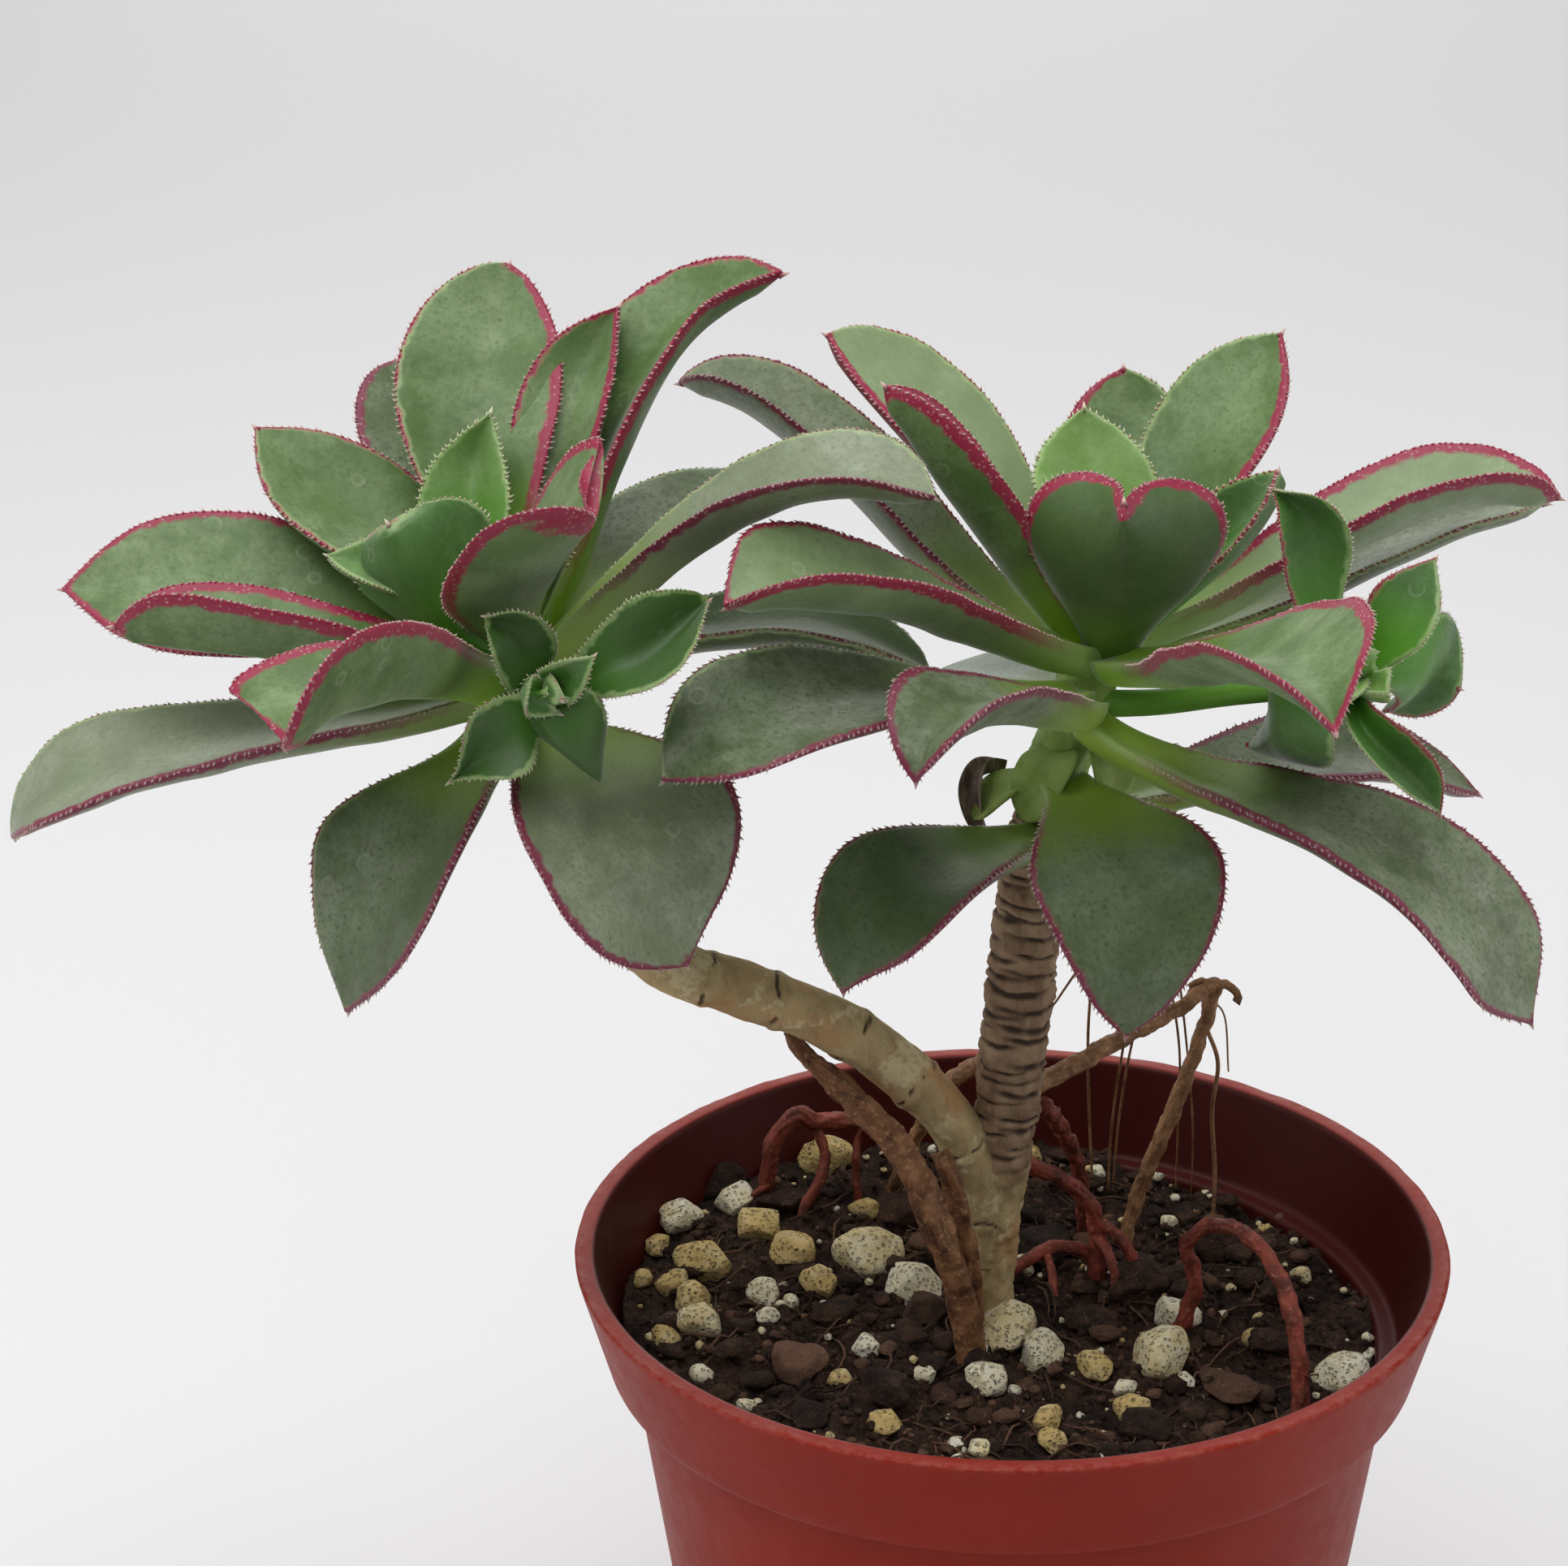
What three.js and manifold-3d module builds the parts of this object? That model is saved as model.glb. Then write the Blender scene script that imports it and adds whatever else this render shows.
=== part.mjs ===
// A two-headed aeonium in a small plastic nursery pot.
// Millimetres, +Z up. The origin is the middle of the pot's flat base; the plant's best side faces -Y.
import * as THREE from "three";
import { mergeVertices } from "three/addons/utils/BufferGeometryUtils.js";
import Module from "manifold-3d";

// ---- Driving dimensions ----
const gap = 0.3; // running clearance between any two pieces
const seam = {
  shortest: [0.12, 0.06, 0.03, 0.01, 0.003], // edges below this are closed up; the first that works is used
  flattest: 0.01, // height of a triangle that counts as flat
  passes: 6,
};

const pot = {
  height: 72,
  rimRadius: 42.5,
  rimWidth: 2,
  collarHeight: 11,
  collarBottomRadius: 39.4,
  bodyTopRadius: 37.2,
  baseRadius: 28.4,
  wall: 1.4,
  floor: 2,
  edge: 0.6,
  drainHoles: 8,
  drainRadius: 2,
  drainCircle: 21,
  sides: 36,
};

const soil = {
  level: 63, // height of the surface where the stem leaves it
  slope: -0.05, // fall of the surface for each millimetre towards +X
  lump: 0.7, // height of its broad lumps
  reach: 60,
  radii: [60, 36, 27, 18, 9, 3],
  sides: 24,
  grainRise: 0.12, // how far a grain's middle stands above the surface, as a share of its size
  seed: 7,
};

const leafShape = {
  stations: 7, // cross-sections from the base to the tip
  teeth: 6, // on each margin
  inner: 0.6, // where the rows between the midrib and the margins lie
  foldRound: 0.25, // how softly the two halves meet at the midrib
  closing: 0.6, // how full the outline stays on its way to the tip
  petiole: 0.28, // width of the leaf's foot, as a share of its widest
  thickness: 2.6,
  smallThickness: 1.6,
  stubThickness: 1.2,
  smallStations: 5,
  smallTeeth: 3,
  point: 50, // half the angle of the tip, in degrees
  held: 6, // how closely the outline follows the two straight sides of its point
  reach: 0.97, // where the last cross-section lies, just short of the tip
  marginDrop: 0.3,
  toothLength: 0.7,
  toothWidth: 0.8,
  toothStart: 0.28, // the foot of the leaf has a smooth margin
};

// ---- Colours, as three.js materials ----
const leafOld = finish("leaf_old", 0x57654f, 0.6);
const leafGrown = finish("leaf_grown", 0x5d8060, 0.55);
const leafYoung = finish("leaf_young", 0x7aa552, 0.5);
const bark = finish("bark", 0x9d9478, 0.8);
const dryBrown = finish("dry_brown", 0x7c5a3e, 0.85);
const rootRed = finish("root_red", 0x8e4a45, 0.7);
const soilDark = finish("soil_dark", 0x2c2420, 0.95);
const potPlastic = finish("pot_plastic", 0x8a3c2c, 0.45);

function finish(name, color, roughness) {
  return new THREE.MeshStandardMaterial({ name, color, roughness, metalness: 0 });
}

// ---- Leaves: base, rise, bend and tip are the four control points of the midrib's Bezier curve ----
// width: across the blade. widest: where along the midrib. blunt: 1.5 is pointed, 4 is square.
// point: half the angle of the tip, in degrees, where it isn't the usual one.
// fold: how far each half is raised at the foot and at the tip, in degrees.
// roll: turn about the midrib at the foot and at the tip, in degrees, right side down.
const leftLeaves = [
  { name: "leaf_left_01", width: 15.5, widest: 0.62, blunt: 2.1, point: 74, coat: leafGrown,
    fold: [20, 8], roll: [0, 0],
    at: [[-45, -9, 138.5], [-48.5, -6.5, 152], [-50.5, 5, 157.5], [-46, 12, 167]] },
  { name: "leaf_left_02", width: 14, widest: 0.65, blunt: 2.2, point: 72, coat: leafOld,
    fold: [15, 8], roll: [0, 0],
    at: [[-45, -8, 137.5], [-50.5, 1.5, 144.5], [-55.3, 13.5, 150.5], [-55.8, 20, 156]] },
  { name: "leaf_left_03", width: 14.2, widest: 0.6, blunt: 2, coat: leafGrown,
    fold: [15, 8], roll: [0, -20],
    at: [[-45.5, -11, 138.5], [-52, -9, 145.5], [-60, -3.5, 147.5], [-68.5, 0, 155.5]] },
  { name: "leaf_left_04", width: 11.8, widest: 0.45, blunt: 1.5, point: 41, coat: leafYoung,
    fold: [48, 24], roll: [-22, -20],
    at: [[-46, -10, 140.5], [-50, -8.5, 150.2], [-48.9, -5, 152.4], [-47.1, -4.8, 157.9]] },
  { name: "leaf_left_05", width: 11, widest: 0.6, blunt: 2, point: 46, coat: leafGrown,
    fold: [30, 40], roll: [0, 0],
    at: [[-44, -8, 140], [-42, -6.5, 150], [-40, 4.5, 157.5], [-36, 6, 164.5]] },
  { name: "leaf_left_06", width: 13, widest: 0.6, blunt: 2.2, point: 42, coat: leafGrown,
    fold: [25, 35], roll: [0, 0],
    at: [[-44, -8, 138.5], [-37.8, -6.5, 149], [-37.5, 9, 163], [-21, 6, 167.5]] },
  { name: "leaf_left_07", width: 19.9, widest: 0.53, blunt: 5, point: 85, coat: leafGrown,
    fold: [25, 27], roll: [44, 18],
    at: [[-46.5, -11, 138.5], [-44.9, -14.5, 146.2], [-40.2, -26.2, 155.4], [-37.5, -24.8, 155.1]] },
  { name: "leaf_left_08", width: 18.8, widest: 0.4, blunt: 5, point: 82, coat: leafYoung,
    fold: [46, 47], roll: [60, 47],
    at: [[-47.5, -12, 139.5], [-53, -20.2, 144.6], [-52.4, -18.6, 148.2], [-55.2, -18.4, 152.4]] },
  { name: "leaf_left_09", width: 17.5, widest: 0.6, blunt: 2, coat: leafGrown,
    fold: [15, 10], roll: [-10, -40],
    at: [[-47, -12, 137.5], [-58.5, -14, 142], [-72, -8.5, 144.2], [-85.5, -9, 143.5]] },
  { name: "leaf_left_10", width: 12, widest: 0.65, blunt: 2.4, point: 58, coat: leafGrown,
    fold: [30, 50], roll: [0, 12],
    at: [[-47, -14, 138], [-54, -22.5, 142], [-68.5, -22.5, 144.4], [-79, -22, 144.8]] },
  { name: "leaf_left_11", width: 18, widest: 0.79, blunt: 3.6, point: 78, coat: leafGrown,
    fold: [38, 23], roll: [-3, 39],
    at: [[-47, -15, 136.5], [-51.5, -28.5, 144], [-60.2, -44.4, 147.9], [-62, -43.7, 141.9]] },
  { name: "leaf_left_12", width: 15, widest: 0.85, blunt: 3.2, point: 39, coat: leafOld,
    fold: [13, 6], roll: [0, -17],
    at: [[-46, -13, 136], [-53.8, -20.5, 133.9], [-89.8, -22.1, 134.9], [-90.3, -16.8, 122.6]] },
  { name: "leaf_left_13", width: 18.5, widest: 0.64, blunt: 1.6, point: 44, coat: leafOld,
    fold: [15, 5], roll: [0, 0],
    at: [[-47, -13, 131.5], [-50.5, -23, 127.5], [-58.5, -27, 125.5], [-60.5, -25, 109]] },
  { name: "leaf_left_14", width: 24, widest: 0.55, blunt: 2.2, point: 60, coat: leafOld,
    fold: [10, 5], roll: [0, 0],
    at: [[-44, -13, 131.5], [-37.2, -22, 132], [-34, -28.5, 125.5], [-30, -27, 114]] },
  { name: "leaf_left_15", width: 13, widest: 0.7, blunt: 3, point: 58, coat: leafOld,
    fold: [25, 25], roll: [0, 5],
    at: [[-43, -10, 137.5], [-33, -11.5, 147], [-21.5, -10.5, 157.5], [-8, -15, 153]] },
  { name: "leaf_left_16", width: 14, widest: 0.6, blunt: 2.2, coat: leafOld,
    fold: [15, 10], roll: [0, 0],
    at: [[-44, -7, 136.5], [-39.5, 0, 141.5], [-29.5, 7.5, 146.5], [-21.5, 10, 146.5]] },
  { name: "leaf_left_17", width: 13, widest: 0.7, blunt: 2.5, point: 64, coat: leafOld,
    fold: [15, 10], roll: [0, 0],
    at: [[-44, -7, 134], [-33, -5, 137.5], [-18.5, -2.5, 141], [-8, -5, 133]] },
  { name: "leaf_left_18", width: 14, widest: 0.62, blunt: 2.2, coat: leafOld,
    fold: [15, 8], roll: [0, 0],
    at: [[-45, -8, 134], [-46, 6, 137], [-47, 18, 144], [-48, 26, 145]] },
];

const rightLeaves = [
  { name: "leaf_right_01", width: 20.2, widest: 0.58, blunt: 2, point: 86, coat: leafGrown,
    fold: [7, 80], roll: [0, -11],
    at: [[8.5, -2, 134], [8.5, -11.1, 144.3], [8.6, -16.2, 147.7], [8.1, -17.5, 153.3]] },
  { name: "leaf_right_02", width: 13, widest: 0.54, blunt: 1.3, point: 58, coat: leafYoung,
    fold: [31, 10], roll: [12, -9],
    at: [[8, 0, 135.5], [6.8, 2.4, 144.9], [6.8, 6.9, 148.6], [6.5, 8.3, 153.7]] },
  { name: "leaf_right_03", width: 12, widest: 0.62, blunt: 2.2, point: 66, coat: leafGrown,
    fold: [15, 10], roll: [0, 0],
    at: [[9, 3, 133.5], [10, 10, 143.5], [11.5, 17.5, 146], [11, 20, 154]] },
  { name: "leaf_right_04", width: 13.5, widest: 0.62, blunt: 2, point: 54, coat: leafGrown,
    fold: [15, 8], roll: [0, 10],
    at: [[9.5, 1, 134.5], [14, 5.5, 143], [19, 12.5, 151], [25, 14, 159]] },
  { name: "leaf_right_05", width: 8.1, widest: 0.53, blunt: 1.4, point: 74, coat: leafYoung,
    fold: [30, 58], roll: [31, 35],
    at: [[9.5, -2, 135.5], [16.6, -4.3, 143.8], [22, -6, 148.3], [22.9, -3.2, 151.2]] },
  { name: "leaf_right_06", width: 14, widest: 0.6, blunt: 2, point: 56, coat: leafGrown,
    fold: [20, 10], roll: [0, -10],
    at: [[7, 0, 135.5], [-1.5, 4, 143.5], [-6.5, 12.5, 154], [-17, 12, 160]] },
  { name: "leaf_right_07", width: 11, widest: 0.6, blunt: 2, coat: leafGrown,
    fold: [30, 45], roll: [0, 0],
    at: [[6.5, -3, 136], [0, -5.5, 143.5], [-4.5, -6.5, 151], [-12, -6, 160.5]] },
  { name: "leaf_right_08", width: 15, widest: 0.75, blunt: 4, point: 62, coat: leafGrown,
    fold: [25, 36], roll: [0, -6],
    at: [[6.5, -4, 134.5], [-2.5, -12, 138.5], [-16, -21, 150.5], [-26.5, -23, 146]] },
  { name: "leaf_right_09", width: 15, widest: 0.68, blunt: 2.2, coat: leafOld,
    fold: [15, 8], roll: [0, -25],
    at: [[5.5, -6, 131.5], [-8.5, -16.5, 134], [-22.5, -26.5, 142.5], [-32, -28, 132]] },
  { name: "leaf_right_10", width: 12, widest: 0.62, blunt: 2.2, coat: leafOld,
    fold: [15, 8], roll: [0, 0],
    at: [[6.5, 4, 127.5], [1.5, 11.5, 126], [-4.5, 21.5, 124], [-7.5, 26, 121]] },
  { name: "leaf_right_11", width: 12.5, widest: 0.75, blunt: 5, point: 46, coat: leafOld,
    fold: [20, 35], roll: [0, 0],
    at: [[6.5, -6, 130], [2.5, -18, 134.5], [-9.5, -31.5, 144], [-10.5, -33, 133.5]] },
  { name: "leaf_right_12", width: 15, widest: 0.62, blunt: 1.6, point: 46, coat: leafOld,
    fold: [10, 5], roll: [0, -20],
    at: [[3, -3, 116.5], [-4, -13.5, 119], [-16, -16, 118], [-16.5, -16, 106]] },
  { name: "leaf_right_13", width: 18.5, widest: 0.52, blunt: 1.5, point: 48, coat: leafOld,
    fold: [10, 5], roll: [0, 0],
    at: [[4, -4, 122], [8, -15.5, 121.5], [11, -23, 119], [9, -21, 103.5]] },
  { name: "leaf_right_14", width: 15.5, widest: 0.82, blunt: 3.4, point: 48, coat: leafOld,
    fold: [15, 5], roll: [0, 20],
    at: [[6.5, -5, 128.5], [16.5, -15.5, 122.5], [37, -18, 126.5], [46.2, -18, 103]] },
  { name: "leaf_right_15", width: 13, widest: 0.65, blunt: 2.2, point: 46, coat: leafOld,
    fold: [15, 8], roll: [0, 15],
    at: [[5.5, 3, 116.5], [17.5, 8, 115], [31.5, 13.5, 123], [46, 14, 112.5]] },
  { name: "leaf_right_16", width: 17, widest: 0.59, blunt: 5, point: 47, coat: leafGrown,
    fold: [12, 48], roll: [10, 7],
    at: [[8, -6, 134.5], [16.6, -17.3, 137.6], [21.2, -31.6, 147.3], [23.1, -46, 142.9]] },
  { name: "leaf_right_17", width: 12.2, widest: 0.65, blunt: 2.4, point: 58, coat: leafGrown,
    fold: [25, 40], roll: [0, 0],
    at: [[9, -1, 135], [23.5, 2, 138], [36, 5.5, 150], [50, 4, 146]] },
  { name: "leaf_right_18", width: 11, widest: 0.65, blunt: 2.4, coat: leafOld,
    fold: [15, 10], roll: [0, 0],
    at: [[9.5, 4, 131.5], [23.5, 10, 131], [38.5, 13, 143.5], [50.5, 13, 142.5]] },
  { name: "leaf_right_19", width: 12, widest: 0.6, blunt: 2.4, point: 62, coat: leafOld,
    fold: [25, 35], roll: [0, 0],
    at: [[6.5, 3, 132], [-5.5, 8.5, 132.5], [-18, 16.5, 155.5], [-31, 19, 153.5]] },
  { name: "leaf_right_20", width: 13, widest: 0.62, blunt: 2.2, coat: leafOld,
    fold: [15, 8], roll: [0, 0],
    at: [[8, 3, 130], [9, 16, 134], [10, 27, 141], [10, 34, 141]] },
];

// Leaves of the small offset rosettes, and of the growing tips, in the same form.
const rosettes = {
  offset_left: {
    coat: leafYoung,
    shoot: {
      at: [[-45, -11, 132], [-44, -16, 134.5], [-42, -21.5, 137.5], [-40.5, -26.5, 139]],
      radius: [1.6, 1.6, 1.7, 1.5],
    },
    leaves: [
      { width: 7, widest: 0.72, blunt: 3.1, point: 80, fold: [5, 67], roll: [-45, -94],
        at: [[-40.5, -25, 138.5], [-45.6, -27.2, 139], [-41.4, -26.3, 145.4], [-46.7, -26.2, 146.4]] },
      { width: 10.5, widest: 0.7, blunt: 2.5, point: 78, fold: [25, 66], roll: [58, 42],
        at: [[-40.5, -25, 138.5], [-35.5, -29.1, 145], [-34.6, -27.7, 140.4], [-27.7, -22.1, 146.4]] },
      { width: 8.4, widest: 0.68, blunt: 2.1, point: 42, fold: [5, 72], roll: [-78, -61],
        at: [[-40.5, -25, 138.5], [-44.8, -31.3, 138.7], [-44.8, -29.2, 136.9], [-50, -30.6, 133.1]] },
      { width: 9.3, widest: 0.45, blunt: 1.5, point: 49, fold: [30, 80], roll: [-60, -70],
        at: [[-40.5, -25, 138.5], [-45, -29.7, 143.2], [-36, -33.1, 132.3], [-37.6, -24.5, 132.3]] },
      { width: 4.5, widest: 0.41, blunt: 1.7, point: 44, fold: [25, 40], roll: [110, 129],
        at: [[-40.5, -26, 139.5], [-41.7, -30, 141.5], [-38.2, -31.2, 143.6], [-37.3, -30.9, 144.6]] },
      { width: 4.1, widest: 0.53, blunt: 1.9, point: 37, fold: [73, 5], roll: [-63, -12],
        at: [[-40.5, -26, 139], [-43, -33.4, 143.3], [-44, -30.9, 140.9], [-40.3, -30.8, 139.3]] },
      { width: 3.4, widest: 0.5, blunt: 1.6, fold: [30, 30], roll: [-40, -60],
        at: [[-40.5, -26, 139.5], [-41, -29, 141], [-40.7, -31.5, 141.8], [-39.8, -32.5, 141.4]] },
    ],
  },
  offset_right: {
    coat: leafYoung,
    shoot: {
      at: [[7, -2, 128.5], [13, -3, 129], [18.5, -5, 130.5], [25, -7, 132], [32, -9, 133.5]],
      radius: [1.3, 1.2, 1.2, 1.3, 1.5],
    },
    leaves: [
      { width: 8.1, widest: 0.73, blunt: 2.9, point: 57, fold: [18, 67], roll: [-85, -98],
        at: [[31, -9, 133.5], [21.1, -12, 142.8], [29.8, -11, 148.7], [21.7, -9.1, 151.3]] },
      { width: 10.5, widest: 0.72, blunt: 3.5, point: 38, fold: [5, 53], roll: [118, 82],
        at: [[31, -9, 133.5], [21.6, -16.1, 137.8], [24.6, -20.3, 130], [21.6, -0.9, 124]] },
      { width: 8.1, widest: 0.63, blunt: 2.3, point: 49, fold: [57, 58], roll: [40, 19],
        at: [[31.5, -9, 133], [25.8, -16.1, 132.4], [34.6, -15.8, 127.3], [36.9, -17, 123.4]] },
      { width: 11, widest: 0.52, blunt: 2.8, point: 74, fold: [10, 19], roll: [-84, -78],
        at: [[31.5, -8, 133], [39.3, -2.7, 132.9], [35.5, 2.8, 130.1], [41, -0.7, 129]] },
      { width: 7.9, widest: 0.39, blunt: 2.2, point: 42, fold: [9, 22], roll: [21, 54],
        at: [[31.5, -9, 134], [32.9, -11.6, 139.5], [35.5, -8.7, 142.8], [36.7, -8.3, 144.5]] },
      { width: 4.5, widest: 0.55, blunt: 1.8, fold: [30, 30], roll: [20, 20],
        at: [[31, -9, 134], [30.5, -12.5, 134.5], [31, -14.5, 134], [32, -15.5, 134.5]] },
      { width: 4.5, widest: 0.55, blunt: 1.8, fold: [30, 30], roll: [0, 0],
        at: [[31, -9, 134], [29.5, -12, 136.5], [28.5, -15, 138], [28.5, -14, 139]] },
      { width: 4, widest: 0.55, blunt: 1.8, fold: [30, 30], roll: [-20, -20],
        at: [[31, -9, 134], [29, -14, 135], [27.5, -16, 134.5], [26.5, -15, 133]] },
    ],
  },
  tip_left: {
    coat: leafYoung,
    shoot: {
      at: [[-45.5, -11, 139.1], [-45.5, -11, 141], [-45.5, -11, 143]],
      radius: [2, 1.8, 0.6],
    },
    leaves: [
      { width: 8.5, widest: 0.55, blunt: 1.6, fold: [30, 30], roll: [-20, -35],
        at: [[-46, -11.5, 140.5], [-52, -15, 145.5], [-57, -15.5, 146.5], [-61, -15, 148.5]] },
      { width: 4, widest: 0.5, blunt: 1.6, fold: [30, 30], roll: [0, 0],
        at: [[-45.5, -11, 140.5], [-45, -13, 144], [-44.5, -13, 147], [-45, -11.5, 149]] },
      { width: 4, widest: 0.5, blunt: 1.6, fold: [30, 30], roll: [0, 0],
        at: [[-45.5, -11, 140.5], [-47, -9, 144], [-47, -9, 147], [-46, -10.5, 149]] },
    ],
  },
  tip_right: {
    coat: leafYoung,
    shoot: {
      at: [[8, -1, 135.6], [8, -1, 138], [8, -1, 140]],
      radius: [2, 1.8, 0.6],
    },
    leaves: [
      { width: 4.5, widest: 0.5, blunt: 1.6, fold: [30, 30], roll: [0, 0],
        at: [[8, -1, 137], [6, -1, 141], [6, -1, 144], [7, -1, 147]] },
      { width: 4.5, widest: 0.5, blunt: 1.6, fold: [30, 30], roll: [0, 0],
        at: [[8, -1, 137], [10, -1, 141], [10, -1, 144], [9, -1, 147]] },
      { width: 4, widest: 0.5, blunt: 1.6, fold: [30, 30], roll: [0, 0],
        at: [[8, -1, 137], [8, -3, 141], [8, -3, 144], [8, -2, 146]] },
    ],
  },
};

const dryLeaf = {
  name: "dry_leaf", width: 4.5, widest: 0.55, blunt: 1.8, thick: 1, coat: dryBrown,
  fold: [30, 45], roll: [0, 0],
  at: [[-1, 1, 121.5], [-5, -3.5, 124.5], [-4.5, -3.5, 118.5], [-2.5, -3.5, 115.5]],
};

// ---- Stems and roots: the points each one passes through and its radius, evenly spread along it ----
const stems = {
  right: {
    at: [
      [-2, -1, 49], [-2, -1, 63], [-1.5, 0, 77], [-0.5, 0, 86], [0.5, 0, 97], [1.5, 0, 108],
      [3, 0, 118], [5.5, -0.5, 127], [8, -1, 135],
    ],
    radius: [1.8, 1.8, 2.3, 2.9, 3.2, 3.3, 3, 2.9, 2.4],
  },
  left: {
    at: [
      [-2, -1, 70], [-2.5, -1, 76.5], [-5.5, -1.5, 85], [-11.5, -3, 92.6], [-19, -5, 98.7],
      [-26.5, -7, 102.7], [-31.5, -9, 105.5], [-36, -10, 110.5], [-40.3, -11, 118], [-43.5, -11, 128],
      [-45.5, -11, 138.5],
    ],
    radius: [1.8, 2.2, 2.5, 2.6, 2.6, 2.6, 2.6, 2.7, 2.9, 2.9, 2.4],
  },
};

// What is left of the leaves that the stems have shed last: short blades of one outline.
const stubOutline = { widest: 0.6, blunt: 3, point: 80, fold: [10, 10], roll: [0, 0] };
const stubs = [
  { width: 6, at: [[5, -0.5, 124], [4, -4, 125.5], [2, -6, 124], [0.5, -6, 118.5]] },
  { width: 5, at: [[3.5, 0, 121], [1, -2, 122], [-2, -3.5, 122], [-4, -4, 118]] },
  { width: 5, at: [[6, 0, 126], [8, -4, 127], [9, -5, 124], [9, -5, 120]] },
  { width: 4.5, at: [[3, 0, 118.5], [6, 3, 119], [8, 4.5, 118], [8.5, 5, 115]] },
  { width: 4.5, at: [[-44, -11, 122], [-41, -9, 123], [-39, -8, 122], [-38.5, -8, 119]] },
];

const strands = [
  {
    name: "withered_strand_long",
    at: [
      [-20, -6, 95.2], [-15.5, -6.5, 91], [-11, -7, 85.5], [-8, -8, 79], [-5.5, -8.5, 72],
      [-4.5, -8.5, 65.5], [-4.5, -8.5, 55],
    ],
    radius: [1, 1.3, 1.4, 1.3, 1.3, 1.2, 1.2],
    coat: dryBrown,
  },
  {
    name: "withered_strand_short",
    at: [
      [-7, -5, 84], [-5.5, -5.5, 79.5], [-4.8, -5.5, 74], [-4.2, -5, 67.5], [-4.2, -5, 56],
    ],
    radius: [0.7, 1, 1.1, 1.1, 1.1],
    coat: dryBrown,
  },
];

const roots = [
  {
    name: "root_tan",
    at: [
      [2, 2, 87.5], [6, 5, 88], [11, 8, 89.5], [17, 11, 91.3], [20.5, 13, 93], [20.3, 13.8, 90],
      [19, 14, 85], [17, 14.3, 78.5], [13.5, 14.8, 68], [12.5, 15, 62], [12.5, 15, 54],
    ],
    radius: [1, 0.9, 0.8, 0.7, 0.7, 0.7, 0.8, 0.8, 0.7, 0.6, 0.6],
    coat: bark,
  },
  {
    name: "root_red_left",
    at: [
      [-6, 15, 52], [-6.5, 15.5, 64], [-9, 19, 70.5], [-14, 24, 72.7], [-18.5, 24, 72.7],
      [-20.5, 23, 74], [-22.5, 22, 72.5], [-23.5, 22, 69], [-24, 22.5, 63], [-24, 22.5, 54],
    ],
    radius: [0.8, 0.8, 0.8, 0.8, 0.9, 0.9, 0.9, 0.8, 0.8, 0.8],
    coat: rootRed,
  },
  {
    name: "root_red_right",
    at: [
      [15.5, -4, 52], [15.7, -4.5, 62], [17.5, -6, 70], [16.5, -7, 75], [18.5, -9, 78], [21.5, -13, 79],
      [24, -17, 77], [25.5, -20, 72], [26, -21, 64], [26, -21, 54],
    ],
    radius: [0.8, 0.8, 0.8, 0.7, 0.7, 0.7, 0.8, 0.8, 1, 1],
    coat: rootRed,
  },
  {
    name: "root_brown_front",
    at: [
      [-0.5, 3, 79], [3, 5, 77], [7.5, 8, 72.5], [9, 9, 69], [9.3, 9, 62], [9.3, 9, 54],
    ],
    radius: [0.8, 0.8, 0.8, 0.8, 0.7, 0.7],
    coat: rootRed,
  },
  {
    name: "root_brown_mid",
    at: [
      [3, 3, 85], [5, 8, 80.5], [7.5, 13, 73], [8.5, 16.5, 64], [8.5, 17, 54],
    ],
    radius: [0.9, 0.8, 0.7, 0.7, 0.7],
    coat: rootRed,
  },
  {
    name: "root_brown_back",
    at: [
      [-2, 3, 90], [-5, 9, 85], [-7, 15, 79], [-9.5, 21, 70], [-11, 26, 62], [-11, 26, 54],
    ],
    radius: [0.9, 0.8, 0.7, 0.7, 0.6, 0.6],
    coat: rootRed,
  },
];

// Pumice and bark on the soil: place on the surface and size across, hand-placed.
const grains = [
  [-34, 17, 4.5], [-27.5, 20, 4], [-25, 13.5, 4.5], [-21, 10, 5], [-30, 7.5, 5.5], [-13.5, 10, 6.5],
  [-9, 4, 6], [-23.5, 3, 4], [-31, 1.5, 5], [-36, 4, 3.5], [-33, -5, 4], [-29, -9, 3], [-18, 5, 3.5],
  [-18, 35, 5], [2, 38, 4], [1, -5.5, 5], [4, -7.5, 5.5], [-1, -12, 5], [18, -1, 5], [17, -6, 5.5],
  [34, -12, 6], [-12, -19, 4], [7, -19, 4.5], [16, -18, 5], [16, 19.5, 4], [31, 11, 3],
  [-21, -12, 7], [-13, -16, 5.5], [22, 16, 6], [24, 8, 6], [10, 3, 6], [-9, 27, 5],
];

// ---- Helpers ----
const wasm = await Module();
wasm.setup();

const vec = (p) => new THREE.Vector3(...p);
const { lerp, degToRad, clamp } = THREE.MathUtils;
const smooth = (x) => clamp(x, 0, 1) ** 2 * (3 - 2 * clamp(x, 0, 1));

// Repeatable random numbers between 0 and 1.
function drawFrom(seed) {
  let state = seed;
  return () => {
    state = (state * 1664525 + 1013904223) % 4294967296;
    return state / 4294967296;
  };
}

// A closed geometry as a solid that can be joined and cut.
function solidOf(geometry) {
  const bare = geometry.index ? geometry.toNonIndexed() : geometry.clone();
  bare.deleteAttribute("normal");
  bare.deleteAttribute("uv");
  const merged = mergeVertices(bare, 1e-4);
  const vertProperties = merged.attributes.position.array;
  const triVerts = new Uint32Array(merged.index.array);
  return new wasm.Manifold(new wasm.Mesh({ numProp: 3, vertProperties, triVerts }));
}

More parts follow.
